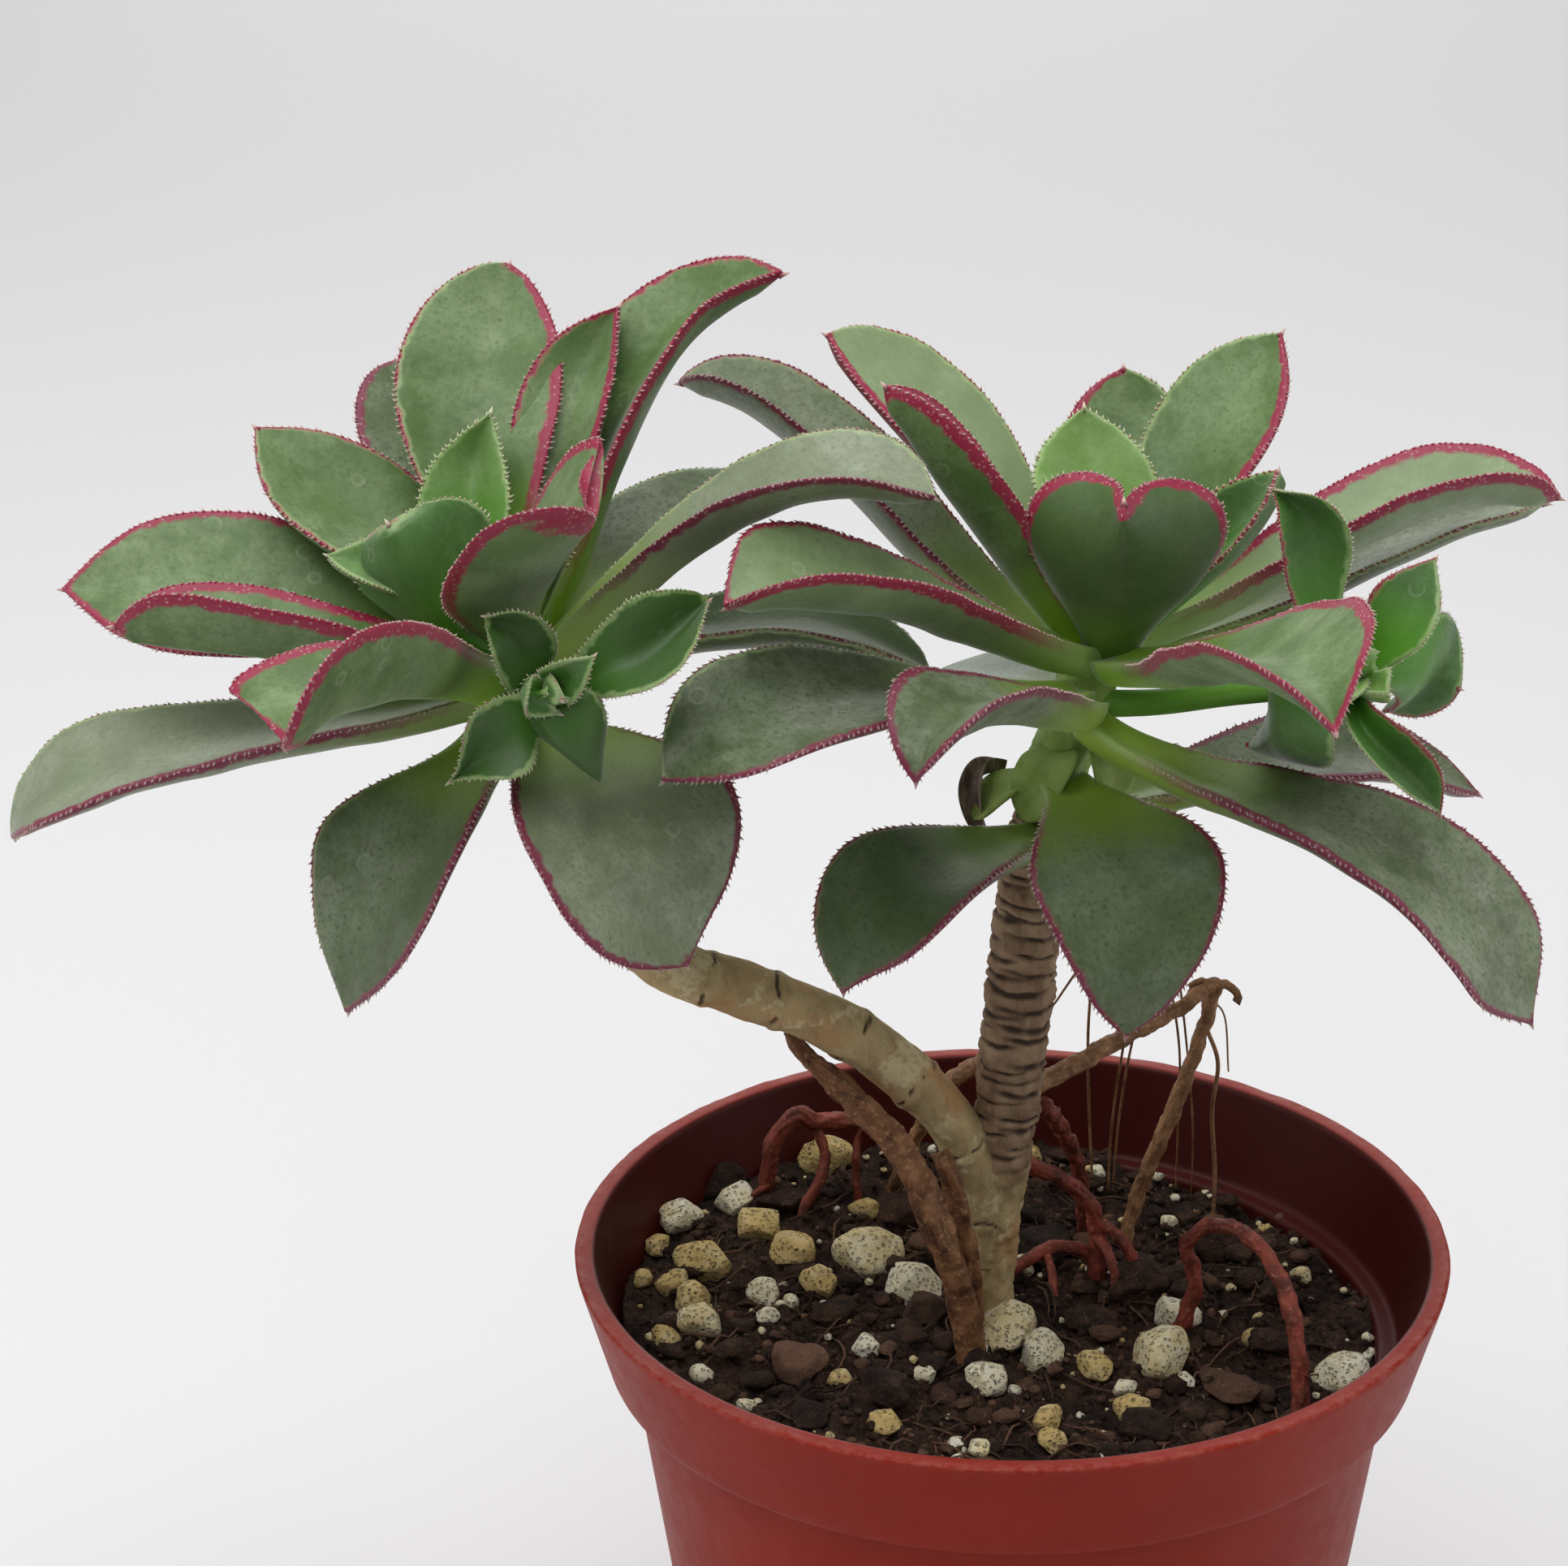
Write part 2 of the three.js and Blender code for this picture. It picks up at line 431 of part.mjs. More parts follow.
function geometryOf(solid) {
  const mesh = solid.getMesh();
  const geometry = new THREE.BufferGeometry();
  geometry.setAttribute("position", new THREE.BufferAttribute(mesh.vertProperties, 3));
  geometry.setIndex(new THREE.BufferAttribute(mesh.triVerts, 1));
  return geometry;
}

function indexedGeometry(points, faces) {
  const geometry = new THREE.BufferGeometry();
  const positions = points.flatMap((p) => [p.x, p.y, p.z]);
  geometry.setAttribute("position", new THREE.Float32BufferAttribute(positions, 3));
  geometry.setIndex(faces);
  return geometry;
}

// Faces without their edges shorter than a length: one end of each moves onto the other.
function closeShortEdges(corner, faces, count, shortest) {
  const kept = Array.from({ length: count }, (_, k) => k);
  const root = (k) => (kept[k] === k ? k : root(kept[k]));
  for (const face of faces)
    face.forEach((from, i) => {
      const [a, b] = [root(from), root(face[(i + 1) % 3])];
      if (a !== b && corner(a).distanceTo(corner(b)) < shortest) kept[b] = a;
    });
  return faces.map((face) => face.map(root)).filter((face) => new Set(face).size === 3);
}

// Where a corner lies on its triangle's longest edge, that edge is turned to run from the corner instead.
function turnFlatTriangles(corner, faces, flattest) {
  const owner = new Map();
  const key = (a, b) => `${a},${b}`;
  faces.forEach((face, f) => face.forEach((a, i) => owner.set(key(a, face[(i + 1) % 3]), f)));
  const turned = new Set();
  faces.forEach((face, f) => {
    const lengths = face.map((a, i) => corner(a).distanceTo(corner(face[(i + 1) % 3])));
    const i = lengths.indexOf(Math.max(...lengths));
    const [a, b, c] = [face[i], face[(i + 1) % 3], face[(i + 2) % 3]];
    const area = corner(b).sub(corner(a)).cross(corner(c).sub(corner(a))).length();
    const g = owner.get(key(b, a));
    if (area / lengths[i] > flattest || turned.has(f) || turned.has(g)) return;
    const d = faces[g].find((k) => k !== a && k !== b);
    if (owner.has(key(c, d)) || owner.has(key(d, c))) return;
    [f, g].forEach((k) => turned.add(k));
    faces[f] = [a, d, c];
    faces[g] = [d, b, c];
  });
  return turned.size > 0;
}

// A cut solid without the short edges and flat triangles along its seams, as far as it stays sound.
function tidied(solid) {
  const geometry = geometryOf(solid);
  const { array, count } = geometry.attributes.position;
  const index = geometry.index.array;
  const corner = (k) => new THREE.Vector3().fromArray(array, 3 * k);
  const whole = [];
  for (let k = 0; k < index.length; k += 3) whole.push([...index.slice(k, k + 3)]);
  for (const shortest of seam.shortest) {
    const faces = closeShortEdges(corner, whole, count, shortest);
    try {
      let left = seam.passes;
      while (left > 0 && turnFlatTriangles(corner, faces, seam.flattest)) left--;
      const closed = solidOf(geometry.clone().setIndex(faces.flat()));
      if (closed.decompose().length === 1) return closed;
    } catch {
      continue;
    }
  }
  return solid;
}

const join = (solids) => solids.reduce((whole, next) => whole.add(next));

// Closed surface over rings of points: each ring joins the next, and a fan closes each end.
function skinOf(rings) {
  const count = rings[0].length;
  const faces = [];
  for (let r = 0; r < rings.length - 1; r++)
    for (let k = 0; k < count; k++) {
      const a = r * count + k;
      const b = r * count + ((k + 1) % count);
      faces.push(a, b, a + count, b, b + count, a + count);
    }
  const last = (rings.length - 1) * count;
  for (let k = 1; k < count - 1; k++) faces.push(0, k + 1, k, last, last + k, last + k + 1);
  return indexedGeometry(rings.flat(), faces);
}

// ---- Tubes ----
// A tube through the points of a route, its radii spread evenly along it.
// Ringing raises every second section.
function tubeSolid({ at, radius }, { sides, step, grow = 0, ringing = 0 }) {
  const curve = new THREE.CatmullRomCurve3(at.map(vec));
  const steps = Math.round(curve.getLength() / step) + 1;
  const { normals, binormals } = curve.computeFrenetFrames(steps);
  const rings = [];
  for (let i = 0; i <= steps; i++) {
    const place = (i / steps) * (radius.length - 1);
    const k = Math.min(Math.floor(place), radius.length - 2);
    const size = lerp(radius[k], radius[k + 1], place - k) * (1 + ringing * (i % 2)) + grow;
    const middle = curve.getPointAt(i / steps);
    const ring = [];
    for (let s = 0; s < sides; s++) {
      const turn = (2 * Math.PI * s) / sides;
      const point = middle.clone().addScaledVector(normals[i], size * Math.cos(turn));
      ring.push(point.addScaledVector(binormals[i], size * Math.sin(turn)));
    }
    rings.push(ring);
  }
  return solidOf(skinOf(rings));
}

// ---- Leaf ----
const midribOf = (leaf) => new THREE.CubicBezierCurve3(...leaf.at.map(vec));

// Frame of the blade at t: the midrib's point, the way to the blade's right side and its upper normal.
function leafFrame(leaf, t) {
  const [base, , , tip] = leaf.at.map(vec);
  const curve = midribOf(leaf);
  const along = curve.getTangent(t);
  const side = tip.clone().sub(base).cross(new THREE.Vector3(0, 0, 1));
  side.addScaledVector(along, -side.dot(along)).normalize();
  side.applyAxisAngle(along, degToRad(lerp(leaf.roll[0], leaf.roll[1], t)));
  return { middle: curve.getPoint(t), side, up: side.clone().cross(along) };
}

// Half width of the blade at t: a narrow foot, the widest part, then a curve closing to the tip,
// softly held within the two straight sides of the point.
function leafHalfWidth(leaf, t) {
  const { petiole, closing, point, held } = leafShape;
  const spread = petiole + (1 - petiole) * smooth(t / leaf.widest);
  const past = Math.max(0, (t - leaf.widest) / (1 - leaf.widest));
  const body = (leaf.width / 2) * spread * (1 - past ** leaf.blunt) ** closing;
  const left = midribOf(leaf).getPoint(t).distanceTo(vec(leaf.at[3]));
  const straight = left * Math.tan(degToRad(leaf.point ?? point));
  return (body ** -held + straight ** -held) ** (-1 / held);
}

// A point of the blade: u runs from the left margin at -1 to the right one at 1; drop lowers it.
function leafPoint(leaf, t, u, drop, grow) {
  const { middle, side, up } = leafFrame(leaf, t);
  const half = leafHalfWidth(leaf, t) + grow;
  const fold = degToRad(lerp(leaf.fold[0], leaf.fold[1], t * t));
  const e = leafShape.foldRound;
  const lift = (Math.hypot(u, e) - e) / (Math.hypot(1, e) - e);
  middle.addScaledVector(side, half * u * Math.cos(fold));
  return middle.addScaledVector(up, half * lift * Math.sin(fold) - drop);
}

// Fleshy along the midrib, thinning to the margins and to the tip.
function leafThickness(leaf, t, u) {
  return leaf.thick * (1 - 0.45 * t * t) * Math.sqrt(1 - Math.abs(u) ** 3);
}

// One margin from the foot to the last cross-section, as [point, t] pairs: plain at the foot, then toothed.
function toothedMargin(leaf, u, teeth) {
  const { toothStart, toothWidth, toothLength, marginDrop, reach } = leafShape;
  const line = [0, toothStart / 2].map((t) => [leafPoint(leaf, t, u, marginDrop, 0), t]);
  const step = (reach - toothStart) / teeth;
  for (let i = 0; i < teeth; i++) {
    const t = toothStart + step * (i + 0.5);
    const root = leafPoint(leaf, t, u, marginDrop, 0);
    const run = leafPoint(leaf, t + 0.01, u, marginDrop, 0).sub(root).setLength(toothWidth / 2);
    const point = root.clone().addScaledVector(leafFrame(leaf, t).side, u * toothLength);
    line.push([root.clone().sub(run), t - 0.01], [point, t], [root.clone().add(run), t + 0.01]);
  }
  return line;
}

// The blade as a solid of lines that run from the foot to the tip, with strips of faces between them.
// With a clearance it is the room that its neighbours keep free of, and its margins have no teeth.
function leafSolid(row, { stations = leafShape.stations, teeth = leafShape.teeth, clearance = 0 } = {}) {
  const leaf = { thick: leafShape.thickness, ...row };
  const places = Array.from({ length: stations }, (_, i) => (leafShape.reach * i) / (stations - 1));
  const room = (t) => (clearance ? clearance + leafShape.toothLength * smooth(3 * t) : 0);
  const points = [leafPoint(leaf, 1, 0, leafShape.marginDrop, 0)];
  const tip = [0, 1];
  const lineOf = (pairs) => [...pairs.map(([point, t]) => [points.push(point) - 1, t]), tip];
  const rowAt = (u, dropAt) => lineOf(places.map((t) => [leafPoint(leaf, t, u, dropAt(t), room(t)), t]));
  const marginAt = (u) => (clearance ? rowAt(u, () => 0) : lineOf(toothedMargin(leaf, u, teeth)));
  const columns = [-leafShape.inner, 0, leafShape.inner];
  const [left, right] = [marginAt(-1), marginAt(1)];
  const upper = columns.map((u) => rowAt(u, () => -clearance));
  const lower = columns.map((u) => rowAt(u, (t) => leafThickness(leaf, t, u) + clearance));
  const faces = [];
  const strip = (a, b) => {
    let [i, j] = [0, 0];
    while (i < a.length - 1 || j < b.length - 1) {
      const first = j === b.length - 1 || (i < a.length - 1 && a[i + 1][1] <= b[j + 1][1]);
      const next = first ? a[i + 1] : b[j + 1];
      if (a[i][0] !== b[j][0]) faces.push(a[i][0], b[j][0], next[0]);
      if (first) i++;
      else j++;
    }
  };
  const across = [left, ...upper, right];
  const below = [right, ...lower.slice().reverse(), left];
  for (const lines of [across, below])
    for (let k = 0; k < lines.length - 1; k++) strip(lines[k], lines[k + 1]);
  const foot = [left, ...lower, right, ...upper.slice().reverse()].map((line) => line[0][0]);
  for (let k = 1; k < foot.length - 1; k++) faces.push(foot[0], foot[k], foot[k + 1]);
  return solidOf(indexedGeometry(points, faces));
}

// ---- Pot and soil ----
const stepHeight = pot.height - pot.collarHeight; // where the collar steps out from the body
const ledgeHeight = stepHeight + pot.wall;
const at2 = (x, y) => new THREE.Vector2(x, y);
const lathe = (profile, sides) => solidOf(new THREE.LatheGeometry(profile, sides).rotateX(Math.PI / 2));

// Inside of the pot as a profile from the axis at the floor, up the wall, over the ledge to a height.
function insideProfile(away, top) {
  const collarSlope = (pot.rimRadius - pot.collarBottomRadius) / pot.collarHeight;
  const collarInside = (z) => pot.rimRadius - pot.rimWidth - collarSlope * (pot.height - z);
  return [
    at2(0, pot.floor + away),
    at2(pot.baseRadius - pot.wall - away, pot.floor + away),
    at2(pot.bodyTopRadius - pot.wall - away, ledgeHeight + away),
    at2(collarInside(ledgeHeight) - away, ledgeHeight + away),
    at2(collarInside(top) - away, top),
  ];
}

function potSolid() {
  const outside = [
    at2(0, 0),
    at2(pot.baseRadius - pot.edge, 0),
    at2(pot.baseRadius, pot.edge),
    at2(pot.bodyTopRadius, stepHeight - pot.edge),
    at2(pot.collarBottomRadius - pot.edge, stepHeight),
    at2(pot.collarBottomRadius, stepHeight + pot.edge),
    at2(pot.rimRadius, pot.height - pot.edge),
    at2(pot.rimRadius - pot.edge / 2, pot.height),
  ];
  const shell = lathe([...outside, ...insideProfile(0, pot.height).reverse()], pot.sides);
  const holes = [];
  for (let k = 0; k < pot.drainHoles; k++) {
    const turn = (2 * Math.PI * (k + 0.5)) / pot.drainHoles;
    const hole = new THREE.CylinderGeometry(pot.drainRadius, pot.drainRadius, 4 * pot.floor, 8);
    hole.rotateX(Math.PI / 2);
    hole.translate(pot.drainCircle * Math.cos(turn), pot.drainCircle * Math.sin(turn), 0);
    holes.push(solidOf(hole));
  }
  return shell.subtract(join(holes));
}

function soilHeight(x, y) {
  const broad = Math.sin(0.35 * x + 1.3) * Math.cos(0.31 * y - 0.7);
  const fine = 0.5 * Math.sin(0.8 * x - 0.4 * y);
  return soil.level + soil.slope * x + soil.lump * (broad + fine);
}

// The soil fills the pot under a lumpy surface, with its grains sunk into it.
function soilSolid() {
  const ringAt = (radius, height) =>
    Array.from({ length: soil.sides }, (_, k) => {
      const turn = (2 * Math.PI * k) / soil.sides;
      const [x, y] = [radius * Math.cos(turn), radius * Math.sin(turn)];
      return new THREE.Vector3(x, y, height ?? soilHeight(x, y));
    });
  const ground = solidOf(skinOf([ringAt(soil.reach, -1), ...soil.radii.map((r) => ringAt(r))]));
  const draw = drawFrom(soil.seed);
  const stones = grains.map(([x, y, size]) => {
    const stone = new THREE.IcosahedronGeometry(size / 2, 0);
    stone.scale(1, 0.8 + 0.2 * draw(), 0.75);
    stone.rotateX(draw());
    stone.rotateZ(Math.PI * draw());
    stone.translate(x, y, soilHeight(x, y) + soil.grainRise * size);
    return solidOf(stone);
  });
  const inside = insideProfile(gap, pot.height - 1);
  const room = lathe([...inside, at2(0, pot.height - 1)], pot.sides);
  return join([ground, ...stones]).intersect(room);
}

// ---- Assembly ----
const plant = new THREE.Group();
const rooms = [];
const boxesMeet = (a, b) => [0, 1, 2].every((k) => a.min[k] < b.max[k] && b.min[k] < a.max[k]);

// Adds a piece, cut clear of the rooms of the pieces placed before it; a loose scrap is dropped.
function place(name, solid, room, coat) {
  const box = solid.boundingBox();
  const near = rooms.filter((other) => boxesMeet(box, other.boundingBox()));
  const cut = near.reduce((rest, other) => rest.subtract(other), solid);
  const [body] = cut.decompose().sort((a, b) => b.volume() - a.volume());
  const mesh = new THREE.Mesh(geometryOf(tidied(body)), coat);
  mesh.name = name;
  plant.add(mesh);
  if (room) rooms.push(room);
}

const stemForm = { sides: 8, step: 3, ringing: 0.07 };
const thinForm = { sides: 5, step: 3 };
const leafRoom = { stations: 5, clearance: 3 * gap }; // coarser than the leaf, so it stands further off
const grown = (form) => ({ ...form, grow: gap, ringing: 0 });

const stemRings = Object.values(stems).map((stem) => tubeSolid(stem, stemForm));
const stemRooms = Object.values(stems).map((stem) =>
  tubeSolid({ ...stem, radius: stem.radius.map((r) => r * (1 + stemForm.ringing)) }, grown(stemForm)),
);
const stubForm = { stations: 4, teeth: 0 };
const stubRows = stubs.map((stub) => ({ thick: leafShape.stubThickness, ...stubOutline, ...stub }));
const stubSolids = stubRows.map((stub) => leafSolid(stub, stubForm));
const stubRooms = stubRows.map((stub) => leafSolid(stub, leafRoom));
place("stem", join([...stemRings, ...stubSolids]), join([...stemRooms, ...stubRooms]), bark);

for (const { name, coat, ...route } of [...strands, ...roots])
  place(name, tubeSolid(route, thinForm), tubeSolid(route, grown(thinForm)), coat);

for (const [name, { shoot, leaves, coat }] of Object.entries(rosettes)) {
  const small = leaves.map((leaf) => ({ thick: leafShape.smallThickness, ...leaf }));
  const form = { stations: leafShape.smallStations, teeth: leafShape.smallTeeth };
  const blades = small.map((leaf) => leafSolid(leaf, form));
  const bladeRooms = small.map((leaf) => leafSolid(leaf, leafRoom));
  const body = join([tubeSolid(shoot, thinForm), ...blades]);
  place(name, body, join([tubeSolid(shoot, grown(thinForm)), ...bladeRooms]), coat);
}

for (const leaf of [...leftLeaves, ...rightLeaves, dryLeaf])
  place(leaf.name, leafSolid(leaf), leafSolid(leaf, leafRoom), leaf.coat);

place("soil", soilSolid(), null, soilDark);
place("pot", potSolid(), null, potPlastic);

export default plant;
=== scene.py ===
# A two-headed aeonium in a small plastic nursery pot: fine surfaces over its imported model.
# The tables are in millimetres in the part's own frame: the origin is the middle of the pot's flat base,
# +Z is up and the plant's best side faces -Y. Meshes are written in metres.
import bpy
import numpy as np
from mathutils import Matrix


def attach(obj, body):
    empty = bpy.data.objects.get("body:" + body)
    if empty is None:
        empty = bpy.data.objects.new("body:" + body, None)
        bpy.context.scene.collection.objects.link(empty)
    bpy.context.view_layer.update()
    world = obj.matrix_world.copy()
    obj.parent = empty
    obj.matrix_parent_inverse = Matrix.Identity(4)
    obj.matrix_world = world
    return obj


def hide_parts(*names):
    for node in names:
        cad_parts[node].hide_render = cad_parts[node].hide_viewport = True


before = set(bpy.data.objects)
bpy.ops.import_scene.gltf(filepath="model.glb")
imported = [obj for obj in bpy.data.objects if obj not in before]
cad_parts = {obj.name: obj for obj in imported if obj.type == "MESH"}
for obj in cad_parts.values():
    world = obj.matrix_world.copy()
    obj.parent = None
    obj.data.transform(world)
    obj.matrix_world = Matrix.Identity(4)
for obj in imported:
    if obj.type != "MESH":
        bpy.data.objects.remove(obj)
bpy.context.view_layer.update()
print("packed model loaded:", len(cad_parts), "nodes")

mm = 0.001
circle = 2 * np.pi

# Camera: above the rim, looking down on the plant's best side
camera = {
    "place": (-21.5, -356, 266),
    "down": 22.27,   # degrees below level
    "lean": -0.71,   # degrees about the line of view
    "lens": 94.96,
    "sensor": 36,
}


def makeCamera(look):
    # the view line is tipped down from +Y, then the picture's own axes are turned about it
    down, lean = np.radians([look["down"], look["lean"]])
    ahead = np.array([0, np.cos(down), -np.sin(down)])
    right = np.array([1.0, 0, 0])
    above = np.array([0, np.sin(down), np.cos(down)])
    turnedRight = right * np.cos(lean) + above * np.sin(lean)
    turnedAbove = above * np.cos(lean) - right * np.sin(lean)
    data = bpy.data.cameras.new("camera")
    data.lens, data.sensor_width, data.sensor_fit = look["lens"], look["sensor"], "HORIZONTAL"
    data.clip_start, data.clip_end = 0.02, 20
    view = bpy.data.objects.new("camera", data)
    turned = Matrix(np.stack([turnedRight, turnedAbove, -ahead], axis=1).tolist()).to_4x4()
    view.matrix_world = Matrix.Translation([v * mm for v in look["place"]]) @ turned
    bpy.context.scene.collection.objects.link(view)
    bpy.context.scene.camera = view


makeCamera(camera)
print("camera placed")


# Small helpers
def linear(hexColour):
    # sRGB to linear: c / 12.92 for dark values, otherwise ((c + 0.055) / 1.055) to the power 2.4
    c = np.array([int(hexColour[k:k + 2], 16) for k in (1, 3, 5)]) / 255
    return (*np.where(c < 0.04045, c / 12.92, ((c + 0.055) / 1.055) ** 2.4).tolist(), 1)


def unit(vectors):
    # each vector divided by its own length
    return vectors / np.maximum(np.linalg.norm(vectors, axis=-1, keepdims=True), 1e-12)


def smooth(x):
    # 3x^2 - 2x^3 between 0 and 1
    x = np.clip(x, 0, 1)
    return x * x * (3 - 2 * x)


def ripple(points, size, seed, octaves):
    # even noise of about -1 to 1: sine waves in random directions, each octave half as long and as high
    draw = np.random.default_rng(seed)
    total = np.zeros(points.shape[:-1])
    for octave in range(octaves):
        ways = unit(draw.normal(size=(8, 3))) * circle / size * 2 ** octave
        ways *= draw.uniform(0.6, 1.4, (8, 1))
        total += np.sin(points @ ways.T + draw.uniform(0, circle, 8)).sum(-1) / 4 / 2 ** octave
    return total


def gridFaces(rows, columns):
    # four-cornered faces between the rows of a grid whose last column joins its first
    r = np.arange(rows - 1)[:, None] * columns
    c = np.arange(columns)[None, :]
    n = (c + 1) % columns
    return np.stack([r + c, r + n, r + columns + n, r + columns + c], axis=-1).reshape(-1, 4)


def fanFaces(first, columns, pole, turned=False):
    # a fan of triangles from a ring of points to one pole
    a = first + np.arange(columns)
    b = first + (np.arange(columns) + 1) % columns
    fan = np.stack([b, a, np.full(columns, pole)], axis=-1)
    return fan[:, ::-1] if turned else fan


def ringSkin(rings, startPole, endPole):
    # rings of points as one closed surface: faces between the rings and a fan to a pole at each end
    rows, columns = rings.shape[:2]
    points = np.concatenate([rings.reshape(-1, 3), [startPole, endPole]])
    count = rows * columns
    faces = [
        gridFaces(rows, columns),
        fanFaces(0, columns, count),
        fanFaces(count - columns, columns, count + 1, turned=True),
    ]
    return points, faces


def ringOf(count, radius, offset=0):
    # points on a level circle about the origin: radius * (cos(turn), sin(turn), 0)
    turn = circle * (np.arange(count) + offset) / count
    return radius * np.stack([np.cos(turn), np.sin(turn), 0 * turn], axis=-1)


def withPoles(values):
    # one value for each ring point, then the first and last ring's middle values for the two poles
    return np.concatenate([values.reshape(-1), [values[0].mean(), values[-1].mean()]])


def makePiece(name, parts, material, replaced):
    # each part is (points in mm, list of face arrays, {attribute: one value for each point})
    starts = np.cumsum([0] + [len(points) for points, _, _ in parts])
    places = np.concatenate([points for points, _, _ in parts]) * mm
    faces = [f + start for (_, group, _), start in zip(parts, starts) for f in group]
    corners = np.concatenate([f.reshape(-1) for f in faces]).astype(np.int32)
    sizes = np.concatenate([np.full(len(f), f.shape[1]) for f in faces])
    mesh = bpy.data.meshes.new(name)
    mesh.vertices.add(len(places))
    mesh.vertices.foreach_set("co", places.astype(np.float32).reshape(-1))
    mesh.loops.add(len(corners))
    mesh.loops.foreach_set("vertex_index", corners)
    mesh.polygons.add(len(sizes))
    mesh.polygons.foreach_set("loop_start", np.concatenate([[0], np.cumsum(sizes)[:-1]]).astype(np.int32))
    mesh.update(calc_edges=True)
    for key in sorted({key for _, _, values in parts for key in values}):
        layer = mesh.attributes.new(key, "FLOAT", "POINT")
        filled = [values.get(key, np.zeros(len(points))) for points, _, values in parts]
        layer.data.foreach_set("value", np.concatenate(filled).astype(np.float32))
    mesh.shade_smooth()
    mesh.materials.append(material)
    piece = bpy.data.objects.new(name, mesh)
    bpy.context.scene.collection.objects.link(piece)
    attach(piece, "root")
    if replaced:
        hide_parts(*replaced)
    return piece


def addNode(tree, kind, settings=None, inputs=None, output=0):
    # adds a node, sets its own settings, and fills its inputs with values or with other nodes' outputs
    node = tree.nodes.new(kind)
    for key, value in (settings or {}).items():
        setattr(node, key, value)
    for key, value in (inputs or {}).items():
        if isinstance(value, bpy.types.NodeSocket):
            tree.links.new(value, node.inputs[key])
        else:
            node.inputs[key].default_value = value
    return node.outputs[output]


def patternValue(tree, name, pattern, values):
    # a pattern is None for the mesh's attribute of that name, "Y" for the place along that axis,
    # (size in mm, detail, roughness, stretch) for noise, ("spots", size in mm, reach, edge) for round spots
    # that are 1 within reach of their cell's middle, or a list of ranges that are added up
    if pattern is None:
        return addNode(tree, "ShaderNodeAttribute", {"attribute_name": name}, output="Fac")
    if isinstance(pattern, list):
        total, *terms = [shareOf(tree, [term], values) for term in pattern]
        for term in terms:
            total = addNode(tree, "ShaderNodeMath", {"operation": "ADD"}, {0: total, 1: term})
        return total
    place = addNode(tree, "ShaderNodeTexCoord", output="Object")
    if isinstance(pattern, str):
        return addNode(tree, "ShaderNodeSeparateXYZ", None, {"Vector": place}, pattern)
    if pattern[0] == "spots":
        size, reach, edge = pattern[1:]
        inputs = {"Vector": place, "Scale": 1 / (size * mm)}
        cells = addNode(tree, "ShaderNodeTexVoronoi", None, inputs, "Distance")
        return shareOf(tree, [("cells", reach, reach - edge)], {"cells": cells})
    size, detail, roughness, *stretch = pattern
    if stretch:
        place = addNode(tree, "ShaderNodeMapping", None, {"Vector": place, "Scale": stretch[0]})
    inputs = {"Vector": place, "Scale": 1 / (size * mm), "Detail": detail, "Roughness": roughness}
    return addNode(tree, "ShaderNodeTexNoise", None, inputs)


def shareOf(tree, ranges, values):
    # the product of its ranges; each is (value, low, high, at low, at high) and spreads the value's stretch
    # from low to high evenly between its ends, which are 0 and 1 unless given; a value alone stays as it is
    share = None
    for name, *ends in ranges:
        value = values[name]
        if ends:
            low, high, atLow, atHigh = (*ends, 0, 1)[:4]
            if low > high:
                low, high, atLow, atHigh = high, low, atHigh, atLow
            inputs = {0: value, 1: low, 2: high, 3: atLow, 4: atHigh}
            value = addNode(tree, "ShaderNodeMapRange", {"clamp": True}, inputs)
        if share is not None:
            value = addNode(tree, "ShaderNodeMath", {"operation": "MULTIPLY"}, {0: share, 1: value})
        share = value
    return share


def paintOf(tree, layers, values):
    # colours laid one over the other; each is (hex colour or layers of its own, then the ranges of its share)
    colour = None
    for top, *ranges in layers:
        top = linear(top) if isinstance(top, str) else paintOf(tree, top, values)
        if colour is not None:
            inputs = {0: shareOf(tree, ranges, values), 6: colour, 7: top}
            top = addNode(tree, "ShaderNodeMix", {"data_type": "RGBA"}, inputs, 2)
        colour = top
    return colour


def makeMaterial(name, recipe):
    # even numbers go on the shader's own sockets; patterns, layers, the roughness's range and the bumps, each
    # (value, depth in mm), become nodes
    material = bpy.data.materials.new(name)
    material.use_nodes = True
    tree = material.node_tree
    principled = tree.nodes["Principled BSDF"]
    for key, value in recipe["shader"].items():
        principled.inputs[key].default_value = value
    values = {}
    for key, pattern in recipe["patterns"].items():
        values[key] = patternValue(tree, key, pattern, values)
    tree.links.new(paintOf(tree, recipe["layers"], values), principled.inputs["Base Color"])
    if "roughness" in recipe:
        tree.links.new(shareOf(tree, [recipe["roughness"]], values), principled.inputs["Roughness"])
    below = {}
    for key, depth in recipe.get("bumps", []):
        inputs = {"Height": values[key], "Distance": depth * mm, "Strength": 1, **below}
        below = {"Normal": addNode(tree, "ShaderNodeBump", None, inputs)}
    if below:
        tree.links.new(below["Normal"], principled.inputs["Normal"])
    return material


